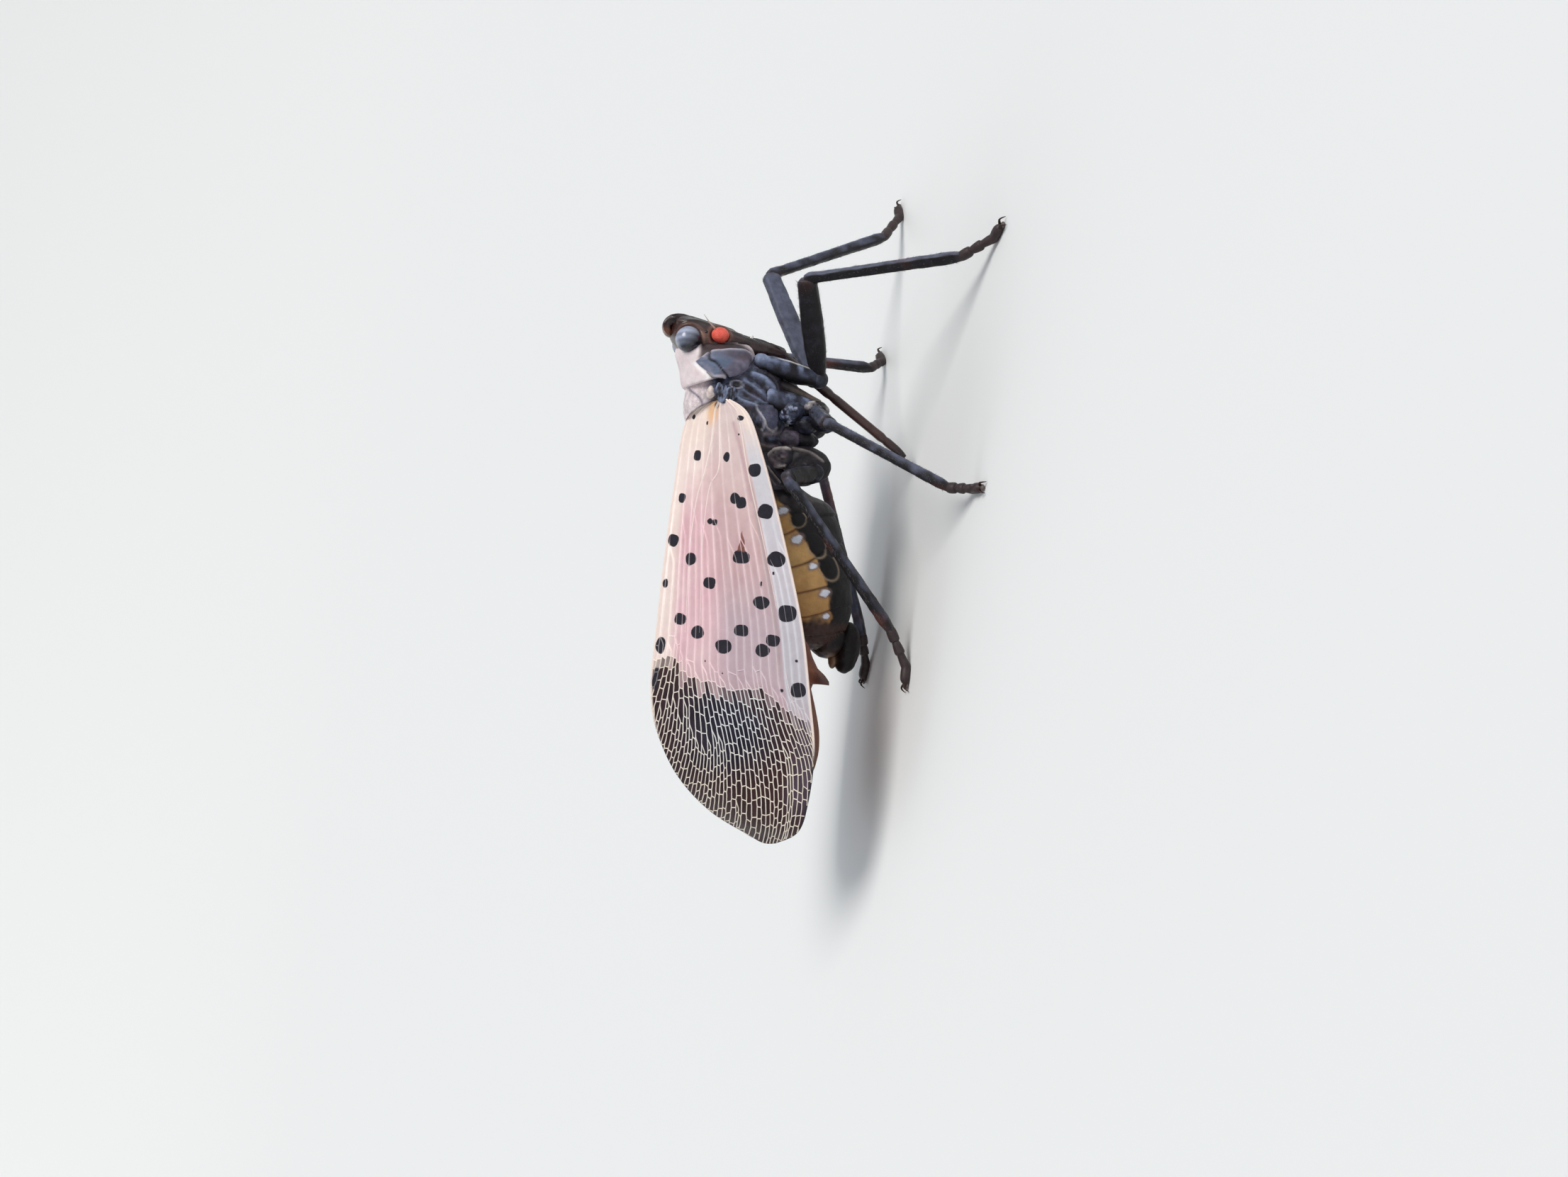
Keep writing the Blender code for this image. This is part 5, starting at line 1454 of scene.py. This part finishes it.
def spikes(roots, directions, lengths, width, colour):
    """Fine three-sided hairs."""
    directions = directions / np.linalg.norm(directions, axis=1, keepdims=True)
    side = np.cross(directions, (0.31, 0.77, 0.55))
    side /= np.linalg.norm(side, axis=1, keepdims=True)
    other = np.cross(directions, side)
    base = [roots + width * (side * math.cos(a) + other * math.sin(a)) for a in HAIR_CORNERS]
    points = np.stack([*base, roots + directions * lengths[:, None]], 1).reshape(-1, 3)
    start = np.arange(len(roots))[:, None] * 4
    faces = np.concatenate([start + f for f in ((0, 1, 3), (1, 2, 3), (2, 0, 3), (0, 2, 1))])
    return points, faces, paint(colour, 0.0, len(points))


def limb_hairs(a, b, sizes, flat, number, length, seed, keel_only=False):
    """Hairs that lean towards the foot, rooted all round a limb or along its keels."""
    draw = np.random.default_rng(seed)
    way, u, v = cross_section(a, b, flat)
    share = draw.uniform(0.04, 0.97, number)
    turn = draw.uniform(0, 2 * math.pi, number)
    if keel_only:
        turn = draw.integers(0, 2, number) * math.pi + draw.normal(0, 0.15, number)
    wide, thick = halves(sizes, share)
    cos, sin = np.cos(turn), np.sin(turn)
    root = a + np.outer(share, b - a) + HAIR_ROOT * (np.outer(cos * wide, u) + np.outer(sin * thick, v))
    out = np.outer(cos, u) + np.outer(sin, v)
    slant = out * 0.75 + way * 0.9 + draw.normal(0, 0.12, (number, 3))
    return spikes(root, slant, length * draw.uniform(0.6, 1.2, number), HAIR_WIDTH, HAIR_GREY)


def foot_shapes(ankle, toe):
    """Three joints, a pad and two claws."""
    out = (toe - ankle) * (1, 1, 0)
    out /= np.linalg.norm(out)
    across = np.array([-out[1], out[0], 0])
    pad = toe - out * 0.75
    pad[2] = 0.20
    line = [ankle + (pad - ankle) * f for f, _ in FOOT_STEPS] + [toe + out * f for f, _ in TOE_STEPS]
    line, radii = bend(line, 60), run([radius for _, radius in FOOT_STEPS + TOE_STEPS], 60)
    line[:, 2] = np.maximum(line[:, 2], radii * 0.80)
    points, faces, colours = tube_shape(line, radii, mix(LEG_DARK, FOOT_BROWN, 0.5), 16, 0.2)
    points[:, 2] = np.maximum(points[:, 2], 0.0)
    shapes = [(points, faces, colours)]
    for turn in (-1, 1):
        root = toe - out * 0.06 + across * (turn * 0.08)
        tip = toe + out * 0.42 + across * (turn * 0.26)
        tip[2] = 0.05
        claw = bend((root, root + (tip - root) * 0.6 + (0, 0, 0.20), tip), 14)
        shapes.append(tube_shape(claw, np.linspace(0.085, 0.012, 14), HORN_BROWN * 0.7, 8))
    shapes.append(ball_shape(toe + out * 0.12 - (0, 0, 0.03), (0.16, 0.16, 0.09), PAD_GREY, 10, 14))
    return shapes


def leg(name, places):
    """Femur, tibia and foot as one run of joints, with hairs along it."""
    pair, word = name.split("_")
    side = SIDES[word]
    seed = 50 + 7 * list(LEGS).index(name)
    seat, knee, ankle = (on_side(place, side) for place in places[:3])
    toe = on_side((*places[3], TOE_HEIGHT), side)
    hip = lean(seat)
    flat = np.cross(np.cross(knee - hip, ankle - knee), knee - hip)
    femur, tibia = scaled(FEMUR_FORM, *FEMUR_SIZES[pair]), scaled(TIBIA_FORM, *TIBIA_SIZE)
    above = knee - KNEE_OVERLAP * (ankle - knee) / np.linalg.norm(ankle - knee)
    shapes = [
        limb(hip, knee, femur, flat, leg_colours(name, False, seed), 28, 3.0, seed),
        limb(above, ankle, tibia, flat, leg_colours(name, True, seed + 1), 24, 3.4, seed + 1),
        ball_shape(hip, (0.44, 0.44, 0.44), trochanter_relief),
    ]
    nodes = ["femur_" + name, "tibia_" + name, "tarsus_" + name]
    piece("leg_" + name, shapes + foot_shapes(ankle, toe), LEG_SKIN, nodes, upright=True)
    hairs = [
        limb_hairs(hip, knee, femur, flat, 420, 0.13, seed),
        limb_hairs(hip, knee, femur, flat, 260, 0.20, seed + 1, True),
        limb_hairs(knee, ankle, tibia, flat, 420, 0.12, seed + 2),
        limb_hairs(knee, ankle, tibia, flat, 160, 0.17, seed + 3, True),
    ]
    hair_map(piece("leg_hairs_" + name, hairs, HAIR, upright=True, smooth=False))


def trochanter_relief(points, normals):
    colour = mix(LEG_DARK * 0.7, LEG_GREY * 0.5, patches(points, 0.3, 61, 0.2, 0.5))
    return 0.02 * clouds(points, 0.3, 60), colour, 0.3


def hair_map(obj):
    """A small patch for each hair, at its root's place on an unwrap of the body seen from above."""
    mesh = obj.data
    low, high = CAD_BOX
    layer = mesh.uv_layers.new(name="OFBake")
    loops = np.empty(len(mesh.loops), np.int64)
    mesh.loops.foreach_get("vertex_index", loops)
    co = np.empty(len(mesh.vertices) * 3)
    mesh.vertices.foreach_get("co", co)
    root = co.reshape(-1, 3)[(loops // 4) * 4]
    u = 0.02 + 0.95 * (root[:, 0] - low.x) / (high.x - low.x)
    v = 0.02 + 0.95 * (root[:, 1] + 0.6 * root[:, 2] - low.y) / (high.y - low.y + 0.6 * (high.z - low.z))
    patch = 0.003 * np.array([(0, 0), (1, 0), (0.5, 0.8), (0.5, 1)])[loops % 4]
    layer.data.foreach_set("uv", (np.stack([u, v], -1) + patch).ravel())


def hind_coxa(side, seed):
    """The broad oval plate at the root of a hind leg, and the cup above it."""
    def plate(points, normals):
        places = from_side(points)
        centre, radii = np.array(HIND_COXA_CENTRE)[[0, 2]], np.array(HIND_COXA_RADII)[[0, 2]]
        hollow = 1 - smooth_step(np.linalg.norm((places - centre) / radii, axis=1), 0.35, 0.80)
        ridge = crease(places, HIND_RIDGE, 0.05)
        colour = mix(SLATE_DARK * 0.6, COXA_BROWN, patches(points, 0.35, seed, 0.4, 0.6))
        colour = mix(colour, COXA_RIDGE, 0.75 * ridge)
        return 0.07 * ridge - 0.06 * hollow + 0.03 * clouds(points, 0.3, seed), colour, 0.25

    def cup(points, normals):
        places = from_side(points)
        rim = crease(places, CUP_RIM, 0.06)
        pale = smooth_step(points[:, 2], 6.45, 7.0) * patches(points, 0.3, seed + 1, 0.6, 0.8)
        colour = mix(mix(SLATE_DARK, CUP_PALE, pale), CUP_EDGE, 0.85 * rim)
        hollow = 1 - smooth_step(np.linalg.norm((places - (0.62, 7.0)) / (0.46, 0.54), axis=1), 0.4, 0.85)
        return 0.05 * rim - 0.09 * hollow + 0.03 * clouds(points, 0.25, seed + 2), colour, 0.4
    return [ball_shape(on_side(HIND_COXA_CENTRE, side), HIND_COXA_RADII, plate, 60, 72),
            ball_shape(on_side(CUP_CENTRE, side), CUP_RADII, cup, 50, 60)]


def tapered_coxa(pair, side, seat, seed):
    """The ridged taper at the root of a fore or mid leg; a fore one has a painted highlight along its front,
    and both have painted shade on their backs.
    """
    base, size = COXAE[pair]
    base, seat = on_side(base, side), on_side(seat, side)
    start = base + (seat - base) * COXA_STARTS[pair]

    def colours(points, normals, share):
        ahead = normals[:, 0]
        # Painted highlight: a line on the faces turned forward and outward, painted white on a fore coxa
        ridge = hill(ahead, 0.80, 0.10) * smooth_step(side * normals[:, 1], 0.15, 0.4)
        colour = mix(SLATE_DARK, SLATE, patches(points, 0.4, seed, 0.3, 0.8))
        waxy = patches(points, 0.35, seed + 1, 0, 0.9) * smooth_step(ahead, -0.2, 0.4)
        colour = mix(colour, WAX_BLUE, waxy)
        upper = (1 - smooth_step(share, 0.12, 0.24)) * smooth_step(ahead, -0.2, 0.3)
        colour = mix(colour, WAX_BLUE, 0.7 * upper)
        colour = mix(colour, WAX_AND_HIGHLIGHT_WHITE, 0.85 * ridge * smooth_step(share, 0.25, 0.4) * (pair == "fore"))
        # Painted shade: faces turned backward are darkened
        return mix(colour, DEEP, smooth_step(-ahead, 0.05, 0.55))
    return [limb(start, seat, scaled(COXA_FORM, *size), np.array([1.0, 0, 0]), colours, 36, 2.6, seed)]


def coxa(name, places):
    """The leg's base, with the lumps and the keel beside it on the mid leg."""
    pair, word = name.split("_")
    side = SIDES[word]
    seed = 90 + 5 * list(LEGS).index(name)
    shapes = hind_coxa(side, seed) if pair == "hind" else tapered_coxa(pair, side, places[0], seed)
    if pair == "mid":
        for centre, radii, look in MID_LUMPS:
            shapes.append(ball_shape(on_side(centre, side), radii, look, 44, 52))
        keel = bend([on_side(place, side) for place in STERNUM_KEEL])
        tones = mix(SLATE_DARK, KEEL_TAN, np.linspace(0, 1, len(keel)))
        shapes.append(tube_shape(keel, np.linspace(0.34, 0.10, len(keel)), tones, 14))
    piece("hip_" + name, shapes, WAXY_SKIN, ["coxa_" + name])


def meta_relief(points, normals):
    places = from_side(points)
    plate = smooth_step(points[:, 2], 6.00, 6.12)
    seam, ridge = crease(places, MID_SEAM, 0.05), crease(places, MID_RIDGE, 0.05)
    colour = mix(SLATE_DARK * 0.6, MID_PLATE, plate * patches(points, 0.3, 78, 0.6, 0.6))
    colour = mix(mix(colour, MID_PALE, 0.7 * ridge), DEEP, 0.8 * seam)
    return 0.05 * clouds(points, 0.35, 77) - 0.06 * seam + 0.05 * ridge, colour, 0.3


def glint_relief(points, normals):
    colour = mix(SLATE_DARK * 0.8, SLATE, patches(points, 0.3, 76, 0.3, 0.8))
    colour = mix(colour, GLINT_BLUE, patches(points, 0.22, 75, -0.9, 2.4))
    return 0.05 * clouds(points, 0.3, 74), colour, 0.3


def knob_relief(points, normals):
    pale = patches(points, 0.28, 71, 0.35, 0.9) * smooth_step(points[:, 0], 2.9, 3.3)
    return 0.05 * clouds(points, 0.30, 70), mix(SLATE_DARK * 0.8, KNOB_PALE, pale), 0.4


def dark_lobe(points, normals):
    colour = mix(SLATE_DARK * 0.7, SLATE, patches(points, 0.4, 73, 0.1, 0.6))
    return 0.05 * clouds(points, 0.4, 72), colour, 0.2


# Lumps beside a mid leg's root: centre, radii and look
MID_LUMPS = (
    ((2.93, 1.72, 6.60), (0.66, 0.62, 0.68), glint_relief),
    ((3.12, 1.95, 5.48), (0.42, 0.48, 0.64), knob_relief),
    ((2.50, 2.15, 5.02), (0.46, 0.62, 0.62), dark_lobe),
    ((2.36, 1.70, 5.85), (0.46, 0.60, 0.62), dark_lobe),
    ((1.66, 1.10, 6.35), (0.56, 0.88, 1.30), meta_relief),
)


# Pieces of the head and body
def eye(word, side):
    centre = on_side(EYE_CENTRE, side)

    def facets(points, normals):
        x, _, z = ((points - centre) / EYE_RADIUS).T
        band = 0.5 + 0.5 * np.sin(13.0 * x + 3.0 * z * z)
        # Painted reflection: the facets are painted pale grey-blue towards the upper front, dark below
        pale = smooth_step(0.55 * z + 0.62 * x, -0.45, 0.60)
        colour = mix(EYE_DARK, EYE_REFLECTION_BLUE, pale * (0.50 + 0.35 * band))
        return np.zeros(len(points)), mix(colour, EYE_BAND, 0.20 * band * (1 - pale)), 0.0
    ball = ball_shape(centre, (EYE_RADIUS,) * 3, facets, 48, 64)
    piece("eye_ball_" + word, [ball], EYE_SKIN, ["eye_" + word])


def bulb_relief(points, normals):
    pits, cells = cloud(points, 0.055, 81), cloud(points, 0.12, 82)
    colour = mix(BULB_RED, BULB_PALE, np.clip(0.5 + 0.4 * cells + 0.3 * pits, 0, 1))
    return 0.005 * pits + 0.004 * cells, colour, 0.0


def antenna(word, side):
    """The red bulb, the stalk behind it and its bristle."""
    centre = on_side(BULB_CENTRE, side)
    bulb = ball_shape(centre, BULB_RADII, bulb_relief, 56, 72)
    stalk = ball_shape(centre - on_side(STALK_OFFSET, side), STALK_RADII, STALK_RED, 20, 28)
    line = bend([on_side(place, side) for place in BRISTLE])
    tones = mix(BRISTLE_RED, BRISTLE_PALE, np.linspace(0.2, 1, len(line)))
    bristle = tube_shape(line, run(BRISTLE_RADII), tones, 8)
    piece("antenna_bulb_" + word, [bulb, stalk, bristle], BULB_SKIN, ["antenna_" + word])


def crumb_relief(points, normals):
    height = 0.35 * CRUMB_SIZE * clouds(points, CRUMB_SIZE * 0.6, 83)
    return height, np.tile(WAX_AND_HIGHLIGHT_WHITE, (len(points), 1)), 1.0


def ocelli():
    """The small eye spots, and a crumb of white wax on the face."""
    spots = [on_side(OCELLUS, side) for side in SIDES.values()]
    shapes = [ball_shape(spot, OCELLUS_RADII, OCELLUS_BLACK, 14, 18) for spot in spots]
    radii = (CRUMB_SIZE, CRUMB_SIZE * 0.6, CRUMB_SIZE * 0.8)
    return shapes + [ball_shape(CRUMB_CENTRE, radii, crumb_relief, 18, 24)]


def shield_relief(points, normals):
    colour = mix(CHALK_GREY, CHALK_PALE, patches(points, 0.3, 85, 0.5, 0.7))
    return 0.06 * clouds(points, 0.22, 84), colour, 1.0


def tegula(word, side):
    """The waxy shield over the wing's hinge, and the small plates below it."""
    shapes = [ball_shape(on_side(TEGULA_CENTRE, side), TEGULA_RADII, shield_relief, 36, 44)]
    shapes += [ball_shape(on_side(centre, side), radii, axillary) for centre, radii in SCLERITES]
    piece("tegula_shield_" + word, shapes, CHALK, ["tegula_" + word])


def axillary(points, normals):
    pale = patches(points * (0.5, 1, 1.6), 0.2, 87, 0.35, 0.9)
    return 0.03 * clouds(points, 0.15, 86), mix(SLATE_DARK, WAX_BLUE, pale), 0.5


def beak():
    share = np.linspace(0, 1, 90)
    radii = run(BEAK_RADII, 90)
    for joint in BEAK_JOINTS:
        radii *= (1 - 0.14 * hill(share, joint, 0.012)) * (1 + 0.06 * hill(share, joint - 0.03, 0.02))
    tones = mix(BEAK_BROWN, BEAK_DARK, np.clip(0.4 + 0.5 * np.sin(9 * share), 0, 1))
    piece("beak", [tube_shape(bend(BEAK, 90), radii, tones, 20)], HEAD_SKIN, ["rostrum"])


def tail_hairs():
    """Fine brown hairs on the rear of the belly and on its lobe."""
    draw = np.random.default_rng(97)
    x = draw.uniform(-8.2, -6.7, TAIL_HAIRS)
    angle = draw.uniform(-0.9, 0.9, TAIL_HAIRS) - math.pi / 2
    rows = np.array(ABDOMEN_ROWS)[::-1]
    half, top, bottom = (np.interp(x, rows[:, 0], rows[:, k]) for k in (2, 3, 4))
    cos, sin = np.cos(angle), np.sin(angle)
    root = np.stack([x, half * cos * 0.97, (top + bottom) / 2 + (top - bottom) / 2 * sin * 0.97], -1)
    way = np.stack([np.full(TAIL_HAIRS, -0.9), cos, sin * 0.8], -1) + draw.normal(0, 0.2, (TAIL_HAIRS, 3))
    hairs = spikes(root, way, draw.uniform(0.14, 0.30, TAIL_HAIRS), 0.010, TAIL_HAIR)
    hair_map(piece("tail_hairs", [hairs], HAIR, smooth=False))


HEAD = [skin(head_grid(), head_relief), horn_shape()] + ocelli()
COLLAR = skin(trunk_grid(PRONOTUM_ROWS, PRONOTUM_FORM, 90, 220), collar_relief)
THORAX = tucked(skin(trunk_grid(THORAX_ROWS, THORAX_FORM, 150, 260), thorax_relief))
BELLY = tucked(skin(trunk_grid(ABDOMEN_ROWS, ABDOMEN_FORM, 300, 320), belly_relief))
TAIL = [ball_shape(centre, radii, tail_relief, 50, 60) for centre, radii in TAIL_LOBES]
piece("head_skin", HEAD, HEAD_SKIN, ["head"])
piece("collar", [COLLAR], COLLAR_SKIN, ["pronotum"])
piece("thorax_skin", [THORAX], WAXY_SKIN, ["thorax"])
piece("belly", [BELLY], BELLY_SKIN, ["abdomen"])
piece("tail_lobe", TAIL, BELLY_SKIN, ["terminalia"])
tail_hairs()
beak()
for word, side in SIDES.items():
    eye(word, side)
    antenna(word, side)
    tegula(word, side)
    piece("forewing_skin_" + word, fore_wing(side), WING_SKIN, ["forewing_" + word])
    piece("forewing_veins_" + word, wing_veins(side) + strong_veins(side), WING_VEIN)
    piece("hindwing_skin_" + word, hind_wing(side), HIND_SKIN, ["hindwing_" + word])
for name, places in LEGS.items():
    coxa(name, places)
    leg(name, places)


# Floor, light and camera
def stage_material(name, colour, rough):
    mat = bpy.data.materials.new(name)
    mat.use_nodes = True
    shader = mat.node_tree.nodes["Principled BSDF"]
    shader.inputs["Base Color"].default_value = (*colour, 1)
    shader.inputs["Roughness"].default_value = rough
    return mat


def studio_floor():
    """A pale round floor that curves up into a wall all round."""
    profile = [(0.05, 0.0), (0.2, 0.0), (0.5, 0.0)]
    profile += [(0.5 + 0.9 * a, 0.55 * a * a) for a in np.linspace(0.1, 1.0, 12)]
    turns = np.arange(FLOOR_SIDES) * 2 * math.pi / FLOOR_SIDES
    points = [(r * math.cos(a), r * math.sin(a), z) for r, z in profile for a in turns]
    faces = grid_faces(len(profile), FLOOR_SIDES, True).tolist()
    faces.append(list(range(FLOOR_SIDES))[::-1])
    mesh = bpy.data.meshes.new("studio_floor")
    mesh.from_pydata(points, [], [face[::-1] for face in faces])
    mesh.shade_smooth()
    mesh.materials.append(stage_material("pale_floor", FLOOR_COLOUR, 0.8))
    obj = placed("studio_floor", mesh)


def soft_sun(name, direction, softness, power, colour):
    """A wide, soft light from a direction."""
    light = bpy.data.lights.new(name, "SUN")
    light.angle = math.radians(softness)
    light.energy = power
    light.color = colour
    x, y, z = direction
    placed(name, light).rotation_euler = (math.atan2(math.hypot(x, y), z), 0, math.atan2(y, x) + math.pi / 2)


def camera():
    out = Vector((0, -math.cos(CAMERA_RISE), math.sin(CAMERA_RISE)))
    down = Vector((0, -math.sin(CAMERA_RISE), -math.cos(CAMERA_RISE)))
    ahead = Vector((1, 0, 0))
    right = ahead * math.sin(CAMERA_TURN) + down * math.cos(CAMERA_TURN)
    up = ahead * math.cos(CAMERA_TURN) - down * math.sin(CAMERA_TURN)
    data = bpy.data.cameras.new("photo_view")
    data.lens = LENS
    data.sensor_width = SENSOR
    data.clip_start = 0.001
    data.clip_end = 10
    turn = Matrix((right, up, out)).transposed().to_4x4()
    turn.translation = (Vector(CAMERA_PLACE) + Vector(SHIFT)) * MM
    bpy.context.scene.camera = placed("photo_view", data)
    bpy.context.scene.camera.matrix_world = turn


def world_light():
    world = bpy.data.worlds.new("studio")
    world.use_nodes = True
    background = world.node_tree.nodes["Background"]
    background.inputs["Color"].default_value = (0.88, 0.93, 1.0, 1)
    background.inputs["Strength"].default_value = 0.40
    bpy.context.scene.world = world


studio_floor()
soft_sun("key", (0.50, -0.38, 0.78), 30, 2.3, (1.0, 0.97, 0.93))
soft_sun("back", (-0.35, 0.60, 0.55), 50, 0.7, (0.93, 0.96, 1.0))
bpy.context.scene.view_settings.view_transform = "Standard"
world_light()
camera()
